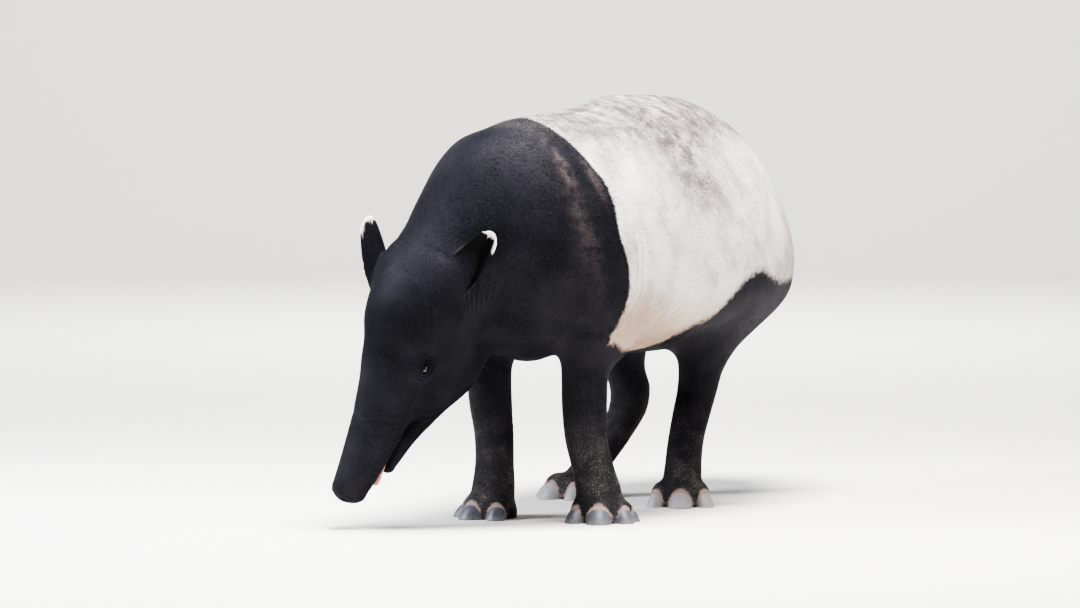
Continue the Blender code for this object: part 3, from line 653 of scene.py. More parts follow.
def eye_folds(points):
    """Rings of low ridges round each slit: sine of the distance from it, fading 30 mm away."""
    lift = np.zeros(len(points))
    for eye in EYES.values():
        near = close(points, eye.middle, 0.05)
        out, along, across = eye.split(points[near])
        rho = np.hypot(along / 1.45, across)
        rings = np.sin(2 * math.pi * (rho - 0.0075) / 0.0062)
        behind = 0.55 + 0.45 * ramp(along, -0.012, 0.012)
        lift[near] += EYE_FOLD * rings * ramp(rho, 0.0075, 0.0095) * ramp(rho, 0.026, 0.014) * behind
    return lift


def belly_creases(points):
    """Fine slanting creases low on the flank, up and back from behind the elbow to the flank."""
    x, y, z = points.T
    out = np.abs(y)
    across = 0.627 * (0.866 * out - 0.5 * x) - 0.78 * z
    phase = across / 0.0135 + 0.35 * ripple(points, 14.0, 0.4)
    place = ramp(z, 0.375, 0.42) * ramp(z, 0.60, 0.50) * ramp(x, -0.06, 0.04) * ramp(x, 0.34, 0.24)
    uneven = 0.7 + 0.3 * ripple(points, 33.0, 1.1)
    return -BELLY_CREASE * stripes(phase, 3) * place * ramp(out, 0.06, 0.13) * uneven


def elbow_creases(points):
    """Two upright creases behind the shoulder that swing forward at the elbow."""
    x, y, z = points.T
    swing = 0.9 * np.maximum(0.56 - z, 0) ** 1.5 / 0.14**0.5 + 0.9 * np.maximum(z - 0.62, 0) ** 2
    place = ramp(z, 0.40, 0.47) * ramp(z, 0.72, 0.63) * ramp(np.abs(y), 0.15, 0.20)
    first = hump(x - swing, 0.326, 0.0042)
    second = 0.6 * hump(x - swing, 0.352, 0.0045)
    roll = hump(x - swing, 0.339, 0.009)
    return -ELBOW_CREASE * place * (first + second) + ELBOW_ROLL * place * roll


def ear_wrinkles(points):
    """A fan of short deep wrinkles on the neck below and behind each ear's root, across WRINKLE_ACROSS."""
    lift = np.zeros(len(points))
    for outside in (1, -1):
        q = from_head(points) - np.array(WRINKLE_SPOT) * (1, outside, 1)
        near = (q**2).sum(1) < 0.12**2
        s = q[near] * (1, outside, 1)
        along = s @ np.array(WRINKLE_ACROSS)
        phase = (along + 0.30 * along * s[:, 0] / 0.05) / 0.0135 + 0.30 * ripple(points[near], 26.0, 0.7)
        place = hump(np.linalg.norm(s * (0.80, 1, 1), axis=1), 0.0, 0.031)
        lift[near] -= EAR_WRINKLE * (0.5 + 0.5 * np.cos(2 * math.pi * phase)) ** 1.6 * place
    return lift


def face_form(points):
    """The forms of the face, each a bell curve across it that fades out at its ends.

    They are the forehead's swell, the fill where it runs into the neck, the hollow over the eye, the cheek's
    ridge, the lip, and the muscle along the nose with the groove under it.
    """
    s, side, above = from_head(points).T
    brow = s - 0.009 - 4.6 * side**2 + 0.07 * side
    fill = POLL_FILL * hump(brow, 0.0, 0.0135) * hump(side, 0.0, 0.13) * ramp(above, 0.0, 0.03)
    side = np.abs(side)
    on_head = (points[:, 0] > 0.5) & (s > -0.08)
    swell = FOREHEAD * hump(np.hypot((s - 0.10) / 1.5, side - 0.040), 0.0, 0.045) * ramp(above, 0.0, 0.05)
    hollow = EYE_HOLLOW * hump(np.hypot((s - 0.205) / 1.3, side - 0.072), 0.0, 0.026)
    hollow = hollow * ramp(above, -0.01, 0.03)
    ridge = CHEEK_RIDGE * hump(above + 0.052 - 0.25 * (s - 0.25), 0.0, 0.013)
    ridge = ridge * hump(s, 0.265, 0.06) * (side > 0.03)
    lip = LIP * hump(np.hypot(s - 0.395, above + 0.078), 0.0, 0.014) * (side > 0.012)
    muscle = NOSE_MUSCLE * hump(above + 0.004 + 0.12 * (s - 0.27), 0.0, 0.013)
    muscle = muscle * ramp(s, 0.23, 0.29) * ramp(s, 0.47, 0.40)
    groove = NOSE_GROOVE * hump(above + 0.040 + 0.20 * (s - 0.27), 0.0, 0.009)
    groove = groove * ramp(s, 0.23, 0.29) * ramp(s, 0.41, 0.35)
    sided = ramp(side, 0.015, 0.030)
    return np.where(on_head, swell + fill - hollow + ridge + lip + (muscle - groove) * sided, 0.0)


def nose_wrinkles(points):
    """Faint rings round the trunk-like nose, and a soft fold where it leaves the face."""
    s, side, above = from_head(points).T
    on_nose = (points[:, 0] > 0.5) & (above > -0.075)
    phase = s / 0.0105 + 0.25 * ripple(points, 60.0, 0.2)
    rings = stripes(phase, 2) * ramp(s, 0.34, 0.42) * ramp(s, 0.585, 0.55)
    fold = hump(s - 0.3 * above, 0.365, 0.010) * ramp(above, -0.06, 0.0)
    return np.where(on_nose, -NOSE_RING * rings - NOSE_FOLD * fold, 0.0)


def leg_creases(points):
    """Rings above the toes, creases at the wrist and hock, and one across the top of the forearm."""
    z = points[:, 2]
    wave = 0.012 * ripple(points, 25.0, 0.9)
    ankle = stripes((z + wave) / 0.014, 2) * ramp(z, 0.05, 0.07) * ramp(z, 0.13, 0.09)
    wrist = stripes((z + wave) / 0.020, 4) * hump(z, 0.245, 0.030)
    elbow = hump(z - 0.25 * (points[:, 0] - 0.40) + wave, 0.435, 0.006) * ramp(points[:, 0], 0.30, 0.36)
    elbow = elbow * ramp(points[:, 0], 0.50, 0.46) * ramp(np.abs(points[:, 1]), 0.12, 0.17)
    return -ANKLE_CREASE * ankle - WRIST_CREASE * wrist - FOREARM_CREASE * elbow


def unevenness(points):
    """Slow swelling of muscle and fat under the skin, a millimetre or so high."""
    return WIDE_SWELLING * ripple(points, 22.0, 0.3) + SMALL_SWELLING * ripple(points, 55.0, 1.9)


def skin_distance(points, depth=0.0, folds=True):
    """Distance of points outside the skin: flesh less the coat's depth, lids, ears, nostrils and folds."""
    total = np.full(len(points), FAR)
    for piece, width in FLESH:
        near = piece.near(points)
        if near.any():
            blend = width(points[near]) if callable(width) else width
            total[near] = melt(total[near], piece.distance(points[near]), blend)
    total += coat_depth(points, depth)
    if folds:
        total -= belly_creases(points) + elbow_creases(points) + ear_wrinkles(points) + face_form(points)
        total -= nose_wrinkles(points) + leg_creases(points) + unevenness(points)
    for eye in EYES.values():
        near = close(points, eye.middle, 0.06)
        out, along, across = eye.split(points[near])
        ball = np.sqrt(out**2 + along**2 + across**2) - EYE_RADIUS - LID_THICK
        total[near] = melt(total[near], ball, 0.010) - (eye_folds(points[near]) if folds else 0.0)
    for ear in EAR_CUPS.values():
        near = ear.near(points)
        total[near] = melt(total[near], ear.distance(points[near], 0.0 if folds else EAR_SWELL), EAR_BLEND)
    for outside in (1, -1):
        along, left, above = NOSTRIL_SPOT
        q = from_head(points) - np.array((along, left * outside, above))
        rho = np.sqrt(((q / np.array(NOSTRIL_RADII)) ** 2).sum(1))
        length = np.sqrt((q**2).sum(1))
        total = carve(total, length - length / np.maximum(rho, 1e-6), 0.004) if folds else total
    return total


def slit_edge(along, across):
    """Distance outside the slit between the lids, and the way of its slope.

    With a along the slit and b across it, it is (|b| + k a^2 - h) / sqrt(1 + (2 k a)^2).
    """
    half_long, half_high = EYE_SLIT
    curve = half_high / half_long**2
    steep = np.sqrt(1 + (2 * curve * along) ** 2)
    off = (np.abs(across) + curve * along**2 - half_high) / steep
    return off, 2 * curve * along / steep, np.sign(across) / steep


def open_lids(points):
    """Draws points next to each slit onto its edge, and sinks those inside it under the eyeball's front."""
    for eye in EYES.values():
        near = np.flatnonzero(close(points, eye.middle, 0.03))
        out, along, across = eye.split(points[near])
        off, slope_along, slope_across = slit_edge(along, across)
        edge = (np.abs(off) < LID_SNAP) & (out > 0)
        along = along - np.where(edge, off * slope_along, 0)
        across = across - np.where(edge, off * slope_across, 0)
        off = np.where(edge, 0.0, off)
        ball = np.sqrt(np.maximum(EYE_RADIUS**2 - along**2 - across**2, 0)) - LID_SINK
        sunk = ramp(-off, 0.0, 2.2 * LID_SNAP) * (out > 0) * (off < 0)
        out = out * (1 - sunk) + ball * sunk + 0.0007 * hump(off, 0.0010, 0.0011) * (out > 0)
        moved = eye.middle + np.outer(out, eye.out) + np.outer(along, eye.slit)
        points[near] = moved + np.outer(across, eye.lift)
    return points


def settle(points, rounds, depth, folds, step=0.0007, most=0.012):
    """Newton steps along the slope of the distance until the points lie on the skin."""
    for _ in range(rounds):
        d = skin_distance(points, depth, folds)
        slope = np.stack([skin_distance(points + e, depth, folds) - d for e in np.eye(3) * step], 1) / step
        steep = np.maximum((slope**2).sum(1), 0.25)
        points = points - slope * (np.clip(d, -most, most) / steep)[:, None]
    return points


# ---- mesh tools ------------------------------------------------------------------------------------------


def new_object(name, mesh):
    obj = bpy.data.objects.new(name, mesh)
    bpy.context.scene.collection.objects.link(obj)
    return obj


def read_points(mesh):
    co = np.empty(len(mesh.vertices) * 3, np.float32)
    mesh.vertices.foreach_get("co", co)
    return co.reshape(-1, 3).astype(float)


def write_points(mesh, points):
    mesh.vertices.foreach_set("co", points.astype(np.float32).ravel())
    mesh.update()


def faces_mesh(name, points, *face_arrays):
    """A mesh from an array of points and one array of corner numbers for each count of corners."""
    mesh = bpy.data.meshes.new(name)
    counts = np.concatenate([np.full(len(f), f.shape[1]) for f in face_arrays])
    corners = np.concatenate([np.ravel(f) for f in face_arrays])
    mesh.vertices.add(len(points))
    mesh.loops.add(len(corners))
    mesh.polygons.add(len(counts))
    mesh.vertices.foreach_set("co", np.asarray(points, np.float32).ravel())
    mesh.loops.foreach_set("vertex_index", corners.astype(np.int32))
    mesh.polygons.foreach_set("loop_start", np.concatenate([[0], np.cumsum(counts)[:-1]]).astype(np.int32))
    mesh.polygons.foreach_set("use_smooth", np.ones(len(counts), bool))
    mesh.update(calc_edges=True)
    mesh.validate()
    return mesh


def tube_faces(rows, around, offset=0):
    """Quads between closed rings of a grid of rows by around points, and the two end polygons."""
    i, j = np.meshgrid(np.arange(rows - 1), np.arange(around), indexing="ij")
    a, b = i * around + j, i * around + (j + 1) % around
    quads = np.stack([a, b, b + around, a + around], -1).reshape(-1, 4) + offset
    ends = np.stack([np.arange(around)[::-1], np.arange(around) + (rows - 1) * around]) + offset
    return quads, ends


def rings_mesh(name, *shells):
    """One mesh of closed tubes, each a list of rings with a flat face on either end."""
    points, parts = [], []
    offset = 0
    for rings in shells:
        rows, around = len(rings), len(rings[0])
        parts += tube_faces(rows, around, offset)
        points.append(np.concatenate(rings))
        offset += rows * around
    mesh = faces_mesh(name, np.concatenate(points), *parts)
    outward(mesh)
    return mesh


def outward(mesh):
    """Turns all faces outward."""
    bm = bmesh.new()
    bm.from_mesh(mesh)
    bmesh.ops.recalc_face_normals(bm, faces=bm.faces)
    bm.to_mesh(mesh)
    bm.free()


def add_number(mesh, name, values):
    attribute = mesh.attributes.new(name, "FLOAT", "POINT")
    attribute.data.foreach_set("value", np.asarray(values, np.float32))


def finish_piece(obj, slot_name, *nodes):
    """Moves the mesh to where the model stands and ties the piece to the frame."""
    write_points(obj.data, read_points(obj.data) - MIDDLE)
    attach(obj, "root")
    if nodes:
        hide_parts(*nodes)
    return obj


# ---- skin ------------------------------------------------------------------------------------------------


def swell(points):
    """Pushes points away from a spot in the head: r becomes SWELL r near it and r plus a constant beyond."""
    way = points - in_head(SWELL_SPOT)
    r = np.linalg.norm(way, axis=1)
    grown = np.where(r < SWELL_REACH, r * SWELL, r + SWELL_REACH * (SWELL - 1))
    return in_head(SWELL_SPOT) + way * (grown / np.maximum(r, 1e-9))[:, None]


def unswell(points):
    """The way back from swell."""
    way = points - in_head(SWELL_SPOT)
    grown = np.linalg.norm(way, axis=1)
    r = np.where(grown < SWELL_REACH * SWELL, grown / SWELL, grown - SWELL_REACH * (SWELL - 1))
    return in_head(SWELL_SPOT) + way * (r / np.maximum(grown, 1e-9))[:, None]


def remeshed(mesh):
    """The mesh with even faces in swollen space, so that those of the head come out finer."""
    write_points(mesh, swell(read_points(mesh)))
    obj = new_object("remesh", mesh)
    modifier = obj.modifiers.new("remesh", "REMESH")
    modifier.mode = "VOXEL"
    modifier.voxel_size = VOXEL
    graph = bpy.context.evaluated_depsgraph_get()
    result = bpy.data.meshes.new_from_object(obj.evaluated_get(graph))
    bpy.data.objects.remove(obj)
    keep_biggest(result)
    write_points(result, unswell(read_points(result)))
    return result


def keep_biggest(mesh):
    """Takes away the loose scraps beside the biggest body."""
    bm = bmesh.new()
    bm.from_mesh(mesh)
    left, biggest = set(bm.verts), set()
    while left:
        edge = found = {left.pop()}
        while edge:
            edge = {e.other_vert(v) for v in edge for e in v.link_edges} & left
            left -= edge
            found |= edge
        biggest = max(biggest, found, key=len)
    bmesh.ops.delete(bm, geom=[v for v in bm.verts if v not in biggest], context="VERTS")
    bm.to_mesh(mesh)
    bm.free()


def refine(mesh, where):
    """Halves the faces whose corners all lie where where(points) is true."""
    inside = where(read_points(mesh))
    bm = bmesh.new()
    bm.from_mesh(mesh)
    bm.verts.ensure_lookup_table()
    edges = {e for f in bm.faces if all(inside[v.index] for v in f.verts) for e in f.edges}
    bmesh.ops.subdivide_edges(bm, edges=list(edges), cuts=1, use_grid_fill=True)
    bm.to_mesh(mesh)
    bm.free()


def near_eyes(reach):
    """A test for points closer than reach to the middle of an eyeball's front."""
    def test(points):
        spots = [eye.middle + eye.out * EYE_RADIUS for eye in EYES.values()]
        return np.min([((points - spot) ** 2).sum(1) for spot in spots], axis=0) < reach**2
    return test


def near_fine_places(points):
    """Feet, nostrils, lips, the edges of the ears, and the wrinkled places of neck, elbow and belly."""
    x, y, z = points.T
    s, side, above = from_head(points).T
    on_head = x > 0.55
    found = (z < 0.10) & (x < 0.55)
    found |= on_head & ((s > 0.545) | ((s > 0.33) & (above < -0.045)))
    found |= (np.abs(x - 0.13) < 0.22) & (np.abs(z - 0.47) < 0.13) & (np.abs(y) > 0.10)
    found |= (np.abs(x - 0.335) < 0.035) & (np.abs(z - 0.58) < 0.15) & (np.abs(y) > 0.14)
    for outside in (1, -1):
        q = from_head(points) - np.array(WRINKLE_SPOT) * (1, outside, 1)
        found |= (q**2).sum(1) < 0.075**2
    return found | on_ear_rims(points)


def on_ear_rims(points):
    found = np.zeros(len(points), bool)
    for ear in EAR_CUPS.values():
        kept, _, _, _, radius, angle, bend = ear.split(points)
        rim = (np.abs(angle) > bend - 0.007 / radius) | (kept > 0.90)
        found |= ear.near(points) & rim & (kept > 0.22) & (ear.distance(points) < 0.004)
    return found


def thinned(mesh, kept_whole):
    """The mesh with its flat places taken down to few faces, but not where kept_whole(points) is true."""
    obj = new_object("thin", mesh)
    group = obj.vertex_groups.new(name="free")
    group.add(np.flatnonzero(~kept_whole(read_points(mesh))).tolist(), 1.0, "REPLACE")
    mesh.calc_loop_triangles()
    modifier = obj.modifiers.new("thin", "DECIMATE")
    modifier.ratio = SKIN_TRIANGLES / len(mesh.loop_triangles)
    modifier.vertex_group = "free"
    modifier.vertex_group_factor = 0.0
    modifier.use_collapse_triangulate = True
    result = bpy.data.meshes.new_from_object(obj.evaluated_get(bpy.context.evaluated_depsgraph_get()))
    bpy.data.objects.remove(obj)
    return result


def skin_mesh(depth):
    """Rough shells, remeshed and settled onto the skin until the faces are even and lie on it."""
    shells = [piece.rings() for piece, _ in FLESH]
    shells += [ear.rings(EAR_THICK + 2 * EAR_SWELL) for ear in EAR_CUPS.values()]
    mesh = remeshed(rings_mesh("rough", *shells))
    write_points(mesh, settle(read_points(mesh), 3, 0.0, False))
    mesh = remeshed(mesh)
    write_points(mesh, settle(read_points(mesh), 2, depth, True))
    refine(mesh, near_fine_places)
    for reach in (0.040, 0.029, 0.020):
        refine(mesh, near_eyes(reach))
    points = open_lids(settle(read_points(mesh), 3, depth, True))
    points[:, 2] = np.maximum(points[:, 2], 0.0)
    write_points(mesh, points)
    mesh = thinned(mesh, lambda spots: near_eyes(0.018)(spots) | on_ear_rims(spots))
    mesh.polygons.foreach_set("use_smooth", np.ones(len(mesh.polygons), bool))
    mesh.name = "skin"
    return mesh


# ---- markings --------------------------------------------------------------------------------------------

# Front edge of the pale saddle: height and X. Hind edge: X and height.
SADDLE_FRONT = (
    (0.38, 0.405), (0.46, 0.405), (0.51, 0.390), (0.56, 0.382), (0.60, 0.388), (0.64, 0.399),
    (0.68, 0.414), (0.72, 0.415), (0.78, 0.410), (0.83, 0.413), (0.88, 0.426), (0.92, 0.443), (0.96, 0.455),
)
SADDLE_HIND = (
    (-0.72, 0.600), (-0.55, 0.560), (-0.45, 0.552), (-0.37, 0.552), (-0.29, 0.565), (-0.20, 0.587),
    (-0.15, 0.583), (-0.08, 0.556), (-0.03, 0.516), (0.00, 0.482), (0.05, 0.460), (0.08, 0.436),
    (0.10, 0.390), (0.13, 0.300),
)
FRONT_SOFT = 0.005
HIND_SOFT = 0.013


def outline(rows, x):
    table = smooth_table(rows, 8)
    return np.interp(x, table[:, 0], table[:, 1])


def saddle(points):
    """Over 0 inside the pale saddle, under 0 outside, 1 or -1 where the hair is no longer mixed."""
    x, _, z = points.T
    front = (outline(SADDLE_FRONT, z) - x) / FRONT_SOFT
    along = np.linspace(-0.72, 0.13, 80)
    slope = np.gradient(outline(SADDLE_HIND, along), 0.85 / 79)
    steep = np.interp(x, along, slope)
    hind = (z - outline(SADDLE_HIND, x)) / np.sqrt(1 + steep**2) / HIND_SOFT
    legs = np.min([leg.distance(points) for leg in LEGS.values()], axis=0)
    low = np.maximum((legs - 0.026 * ramp(z, 0.47, 0.41)) / 0.006, (z - 0.43) / 0.010)
    low = np.minimum(low, (z - 0.412 + 0.1 * ramp(x, 0.27, 0.22)) / 0.006)
    return np.clip(np.minimum(np.minimum(front, hind), low), -6, 6)


def ear_rim(points):
    """1 on the white edge of an ear's tip, which runs further down one edge."""
    rim = np.zeros(len(points))
    for ear in EAR_CUPS.values():
        near = ear.near(points)
        kept, _, _, _, radius, angle, bend = ear.split(points[near])
        inward = (bend - np.clip(angle, -bend, bend)) * radius
        edge = ramp(inward, 0.009, 0.006) * ramp(kept, 0.77, 0.83)
        edge = edge * ramp(inward, 0.075 * (kept - 0.74) + 0.002, 0.0)
        tip = np.maximum(ramp(kept, 0.932, 0.950), edge)
        rim[near] = np.maximum(rim[near], tip * ramp(ear.distance(points[near]), 0.006, 0.003))
    return rim


def ear_cup_shade(points):
    """1 inside the cup of an ear, where its shade is painted."""
    deep = np.zeros(len(points))
    for ear in EAR_CUPS.values():
        near = ear.near(points)
        kept, _, a, f, radius, angle, bend = ear.split(points[near])
        inner = ramp(np.hypot(a, f - radius), radius + 0.0005, radius - 0.001)
        deep[near] = np.maximum(deep[near], inner * ramp(ear.distance(points[near]), 0.005, 0.002))
    return deep


def lid_edge(points):
    """1 on the moist edge of the lids."""
    moist = np.zeros(len(points))
    for eye in EYES.values():
        near = close(points, eye.middle, 0.03)
        out, along, across = eye.split(points[near])
        moist[near] = hump(slit_edge(along, across)[0], 0.0006, 0.0010) * (out > 0)
    return moist


def marks(points):
    """The numbers that the materials read, for each point: where each colour of the coat lies, and where
    shade is painted.
    """
    x, y, z = points.T
    s, side, above = from_head(points).T
    pale = saddle(points)
    tan_top = np.interp(x, (-0.35, -0.10, 0.10, 0.33), (0.60, 0.53, 0.49, 0.54))
    on_head = ramp(x, 0.50, 0.58)
    left_patch = hump(np.hypot((x - 0.04) / 1.3, z - 0.825), 0.0, 0.120) * ramp(y, 0.0, 0.1)
    back_dust = ramp(z, 0.85, 0.960) + left_patch
    brown = hump(np.hypot(x - 0.365, z - 0.86), 0.0, 0.035) * 0.8
    brown = brown + ramp(x, -0.36, -0.50) * hump(z, 0.60, 0.10)
    streak = hump(x, 0.496, 0.013) * hump(z, 0.845, 0.055)
    streak = streak + hump(x, 0.434, 0.010) * hump(z, 0.83, 0.050) * 0.8
    streak += 0.5 * hump(x - 0.25 * (z - 0.7), 0.50, 0.02) * hump(z, 0.70, 0.10)
    dust = ramp(z, 0.30, 0.04) * 0.8 + 0.10 + ramp(z, 0.86, 0.96) * ramp(x, 0.56, 0.46) * 0.35
    # the gap between the lips, to be darkened as painted shade
    lips = hump(s, 0.50, 0.06) * ramp(above, -0.055, -0.066) * ramp(above, -0.110, -0.095) * on_head
    return {
        "saddle": pale,
        # painted shade with warm bounced light: the saddle turns tan and darker low down, under the belly
        "belly_tan_shade": ramp(z, tan_top + 0.060, tan_top - 0.060) * ramp(x, -0.40, 0.10),
        "mauve": np.clip(back_dust, 0, 1),
        "brown": np.clip(brown, 0, 1),
        "streak": np.clip(streak, 0, 1) * ramp(np.abs(y), 0.02, 0.08),
        "dust": np.clip(dust, 0, 1) * (1 - 0.9 * on_head),
        "toe_pink": ramp(hoof_nearness(points), 1.11, 1.04),
        "rim": ear_rim(points),
        # painted shade in the ear cups and in the gap between the lips
        "hollow": np.maximum(ear_cup_shade(points), lips * 0.6),
        "upright": np.maximum(ramp(z, 0.50, 0.40), on_head),
        "lid": lid_edge(points),
    }


BODY_HAIR_WAY = (-1.0, 0.0, -0.45)
LEG_HAIR_WAY = (-0.12, 0.0, -1.0)


def flow(points):
    """The way the hair lies: back along the body, down the legs, up from the nose, out on the ears."""
    x, y, z = points.T
    on_head = ramp(from_head(points)[:, 0], -0.06, 0.06) * ramp(x, 0.52, 0.60)
    on_leg = ramp(z, 0.52, 0.40)
    way = np.empty_like(points)
    way[:] = BODY_HAIR_WAY
    way = way * (1 - on_leg)[:, None] + np.outer(on_leg, LEG_HAIR_WAY)
    way = way * (1 - on_head)[:, None] + np.outer(on_head, -HEAD_FRAME[0] - 0.25 * HEAD_FRAME[2])
    for ear in EAR_CUPS.values():
        near = ear.near(points)
        on_ear = ramp(ear.distance(points[near]), 0.012, 0.004)[:, None]
        way[near] = way[near] * (1 - on_ear) + ear.way * on_ear
    return way


# ---- coat ------------------------------------------------------------------------------------------------

# The chart of the unwrap: each piece of the body's own rectangle, as left, bottom, width and height
CHARTS = (
    (FLESH[0][0], (0.01, 0.01, 0.56, 0.48)),
    (FLESH[1][0], (0.01, 0.51, 0.27, 0.30)),
    (FLESH[2][0], (0.30, 0.51, 0.27, 0.30)),
    (FLESH[3][0], (0.01, 0.83, 0.27, 0.16)),
    (LEGS["front_left"], (0.59, 0.01, 0.19, 0.30)),
    (LEGS["front_right"], (0.80, 0.01, 0.19, 0.30)),
    (LEGS["hind_left"], (0.59, 0.33, 0.19, 0.30)),
    (LEGS["hind_right"], (0.80, 0.33, 0.19, 0.30)),
    (FLESH[-1][0], (0.30, 0.83, 0.12, 0.12)),
    (EAR_CUPS["left"], (0.59, 0.65, 0.19, 0.30)),
    (EAR_CUPS["right"], (0.80, 0.65, 0.19, 0.30)),
)
PATCH = 0.003  # size of a tuft's own place on the chart
TUFT_LENGTH, TUFT_WIDTH, TUFT_LIFT = 0.0100, 0.0011, 0.00016  # on the body
LENGTH_SPREAD, WIDTH_SPREAD, LIFT_SPREAD = (0.6, 1.3), (0.7, 1.3), (0.5, 1.3)  # least and most, as shares
STRAY = 0.07  # how far a tuft's way strays from the flow


def unwrap(points):
    """Each point's place on the chart of the piece of the body it is nearest to."""
    apart = np.stack([piece.distance(points) for piece, _ in CHARTS])
    nearest = apart.argmin(0)
    uv = np.empty((len(points), 2))
    for number, (piece, (left, bottom, width, height)) in enumerate(CHARTS):
        mine = nearest == number
        along, round_it = piece.chart(points[mine])
        uv[mine, 0] = left + width * np.clip(along, 0, 1)
        uv[mine, 1] = bottom + height * np.clip(round_it, 0, 1)
    return uv


def tuft_size(points):
    """Length, width and lift of the tufts and how many there are for an area, all over the body."""
    x, y, z = points.T
    s = from_head(points)[:, 0]
    on_head = ramp(s, -0.05, 0.10) * ramp(x, 0.52, 0.60)
    on_nose = ramp(s, 0.28, 0.50) * on_head
    on_foot = ramp(z, 0.22, 0.08) * (1 - on_head)
    fine = np.maximum(on_head * 0.55 + on_nose * 0.25, on_foot * 0.7)
    for ear in EAR_CUPS.values():
        near = ear.near(points)
        fine[near] = np.maximum(fine[near], 0.95 * ramp(ear.distance(points[near]), 0.010, 0.004))
    length = TUFT_LENGTH * (1 - 0.62 * fine)
    width = TUFT_WIDTH * (1 - 0.45 * fine)
    lift = TUFT_LIFT * (1 - 0.45 * fine)
    crowd = 1 + 1.6 * fine
    crowd = crowd * (hoof_nearness(points) > 1.25) * (z > 0.012)
    for ear in EAR_CUPS.values():
        near = ear.near(points)
        kept, _, _, _, radius, angle, bend = ear.split(points[near])
        rim = np.minimum((bend - np.abs(angle)) * radius, (1 - kept) * ear.length)
        crowd[near] *= np.where(ear.distance(points[near]) < 0.004, ramp(rim, 0.0045, 0.0090), 1)
    for eye in EYES.values():
        crowd = crowd * ramp(np.linalg.norm(points - eye.middle - eye.out * 0.012, axis=1), 0.014, 0.022)
    crowd = crowd * (1 - ramp(s, 0.565, 0.580) * on_head)
    return length, width, lift, crowd


def skin_arrays(mesh):
    """Points, normals and triangles of the skin."""
    mesh.calc_loop_triangles()
    triangles = np.empty(len(mesh.loop_triangles) * 3, np.int32)
    mesh.loop_triangles.foreach_get("vertices", triangles)
    normals = np.empty(len(mesh.vertices) * 3, np.float32)
    mesh.vertex_normals.foreach_get("vector", normals)
    return read_points(mesh), normals.reshape(-1, 3).astype(float), triangles.reshape(-1, 3)


def tuft_roots(skin, count, rng):
    """Spots on the skin with their normals, scattered by area and by how close the tufts stand there."""
    points, normals, triangles = skin_arrays(skin)
    a, b, c = (points[triangles[:, k]] for k in range(3))
    area = np.linalg.norm(np.cross(b - a, c - a), axis=1)
    crowd = tuft_size((a + b + c) / 3)[3]
    total = np.cumsum(area * crowd)
    chosen = np.searchsorted(total, rng.random(count) * total[-1])
    u, v = rng.random((2, count))
    fold = u + v > 1
    u, v = np.where(fold, 1 - u, u), np.where(fold, 1 - v, v)
    share = np.stack([1 - u - v, u, v], 1)[:, :, None]
    corners = triangles[np.minimum(chosen, len(triangles) - 1)]
    root = (points[corners] * share).sum(1)
    normal = (normals[corners] * share).sum(1)
    return root, normal / np.linalg.norm(normal, axis=1)[:, None]


# Corners of one tuft: left and right under the skin, the ridge over its root, and the tip. Outward triangles.
TUFT_ALONG = np.array((0.0, 0.0, 0.15, 1.0))
TUFT_ACROSS = np.array((-0.5, 0.5, 0.0, 0.0))
TUFT_UP = np.array((-0.5, -0.5, 1.0, 0.55))
TUFT_TRIANGLES = np.array(((0, 1, 3), (0, 2, 1), (0, 3, 2), (1, 2, 3)))


def tufts_mesh(name, root, normal, rng):
    """Flat pointed tufts, each a sliver of four faces: a triangle round the root and a tip.

    A point of a tuft is root + way * along + normal * up + side * across, with along, up and across scaled
    by the tuft's own length, lift and width.
    """
    count = len(root)
    length, width, lift, _ = tuft_size(root)
    length = length * rng.uniform(*LENGTH_SPREAD, count)
    width = width * rng.uniform(*WIDTH_SPREAD, count)
    lift = lift * rng.uniform(*LIFT_SPREAD, count)
    way = flow(root) + STRAY * rng.normal(size=(count, 3))
    way -= normal * (way * normal).sum(1)[:, None]
    way /= np.linalg.norm(way, axis=1)[:, None]
    side = np.cross(normal, way)
    corner = (
        root[:, None]
        + way[:, None] * (length[:, None] * TUFT_ALONG)[:, :, None]
        + normal[:, None] * (lift[:, None] * TUFT_UP)[:, :, None]
        + side[:, None] * (width[:, None] * TUFT_ACROSS)[:, :, None]
    )
    triangles = TUFT_TRIANGLES + (np.arange(count) * len(TUFT_ALONG))[:, None, None]
    mesh = faces_mesh(name, corner.reshape(-1, 3), triangles.reshape(-1, 3))
    spot = unwrap(root)[:, None] + PATCH * np.stack([TUFT_ACROSS, TUFT_ALONG - 0.5], 1)
    map_tufts(mesh, spot.reshape(-1, 2))
    for key, values in marks(root).items():
        add_number(mesh, key, np.repeat(values, len(TUFT_ALONG)))
    add_number(mesh, "shade", np.repeat(rng.uniform(0, 1, count), len(TUFT_ALONG)))
    return mesh


def map_tufts(mesh, spots):
    """Gives the mesh its map, with each corner of a face at its point's spot."""
    corners = np.empty(len(mesh.loops), np.int32)
    mesh.loops.foreach_get("vertex_index", corners)
    layer = mesh.uv_layers.new(name="OFBake")
    layer.data.foreach_set("uv", spots[corners].astype(np.float32).ravel())


# ---- small pieces ----------------------------------------------------------------------------------------


CORNEA = (0.05, 0.45)  # how far it stands out as a share of the radius, and its half width in radians


def ball_mesh(name, eye):
    """An eyeball: r(a) = R (1 + h exp(-(a / w)^2)) at the angle a from its front, h and w the cornea's."""
    bulge, spread = CORNEA
    angle = np.linspace(0.02, math.pi - 0.02, 40)
    turn = np.linspace(0, 2 * math.pi, 56, endpoint=False)
    r = EYE_RADIUS * (1 + bulge * np.exp(-((angle / spread) ** 2)))
    rings = [
        eye.middle
        + eye.out * radius * math.cos(a)
        + radius * math.sin(a) * (np.outer(np.cos(turn), eye.slit) + np.outer(np.sin(turn), eye.lift))
        for radius, a in zip(r, angle)
    ]
    mesh = rings_mesh(name, rings)
    add_number(mesh, "from_front", np.repeat(angle, len(turn)))
    return mesh


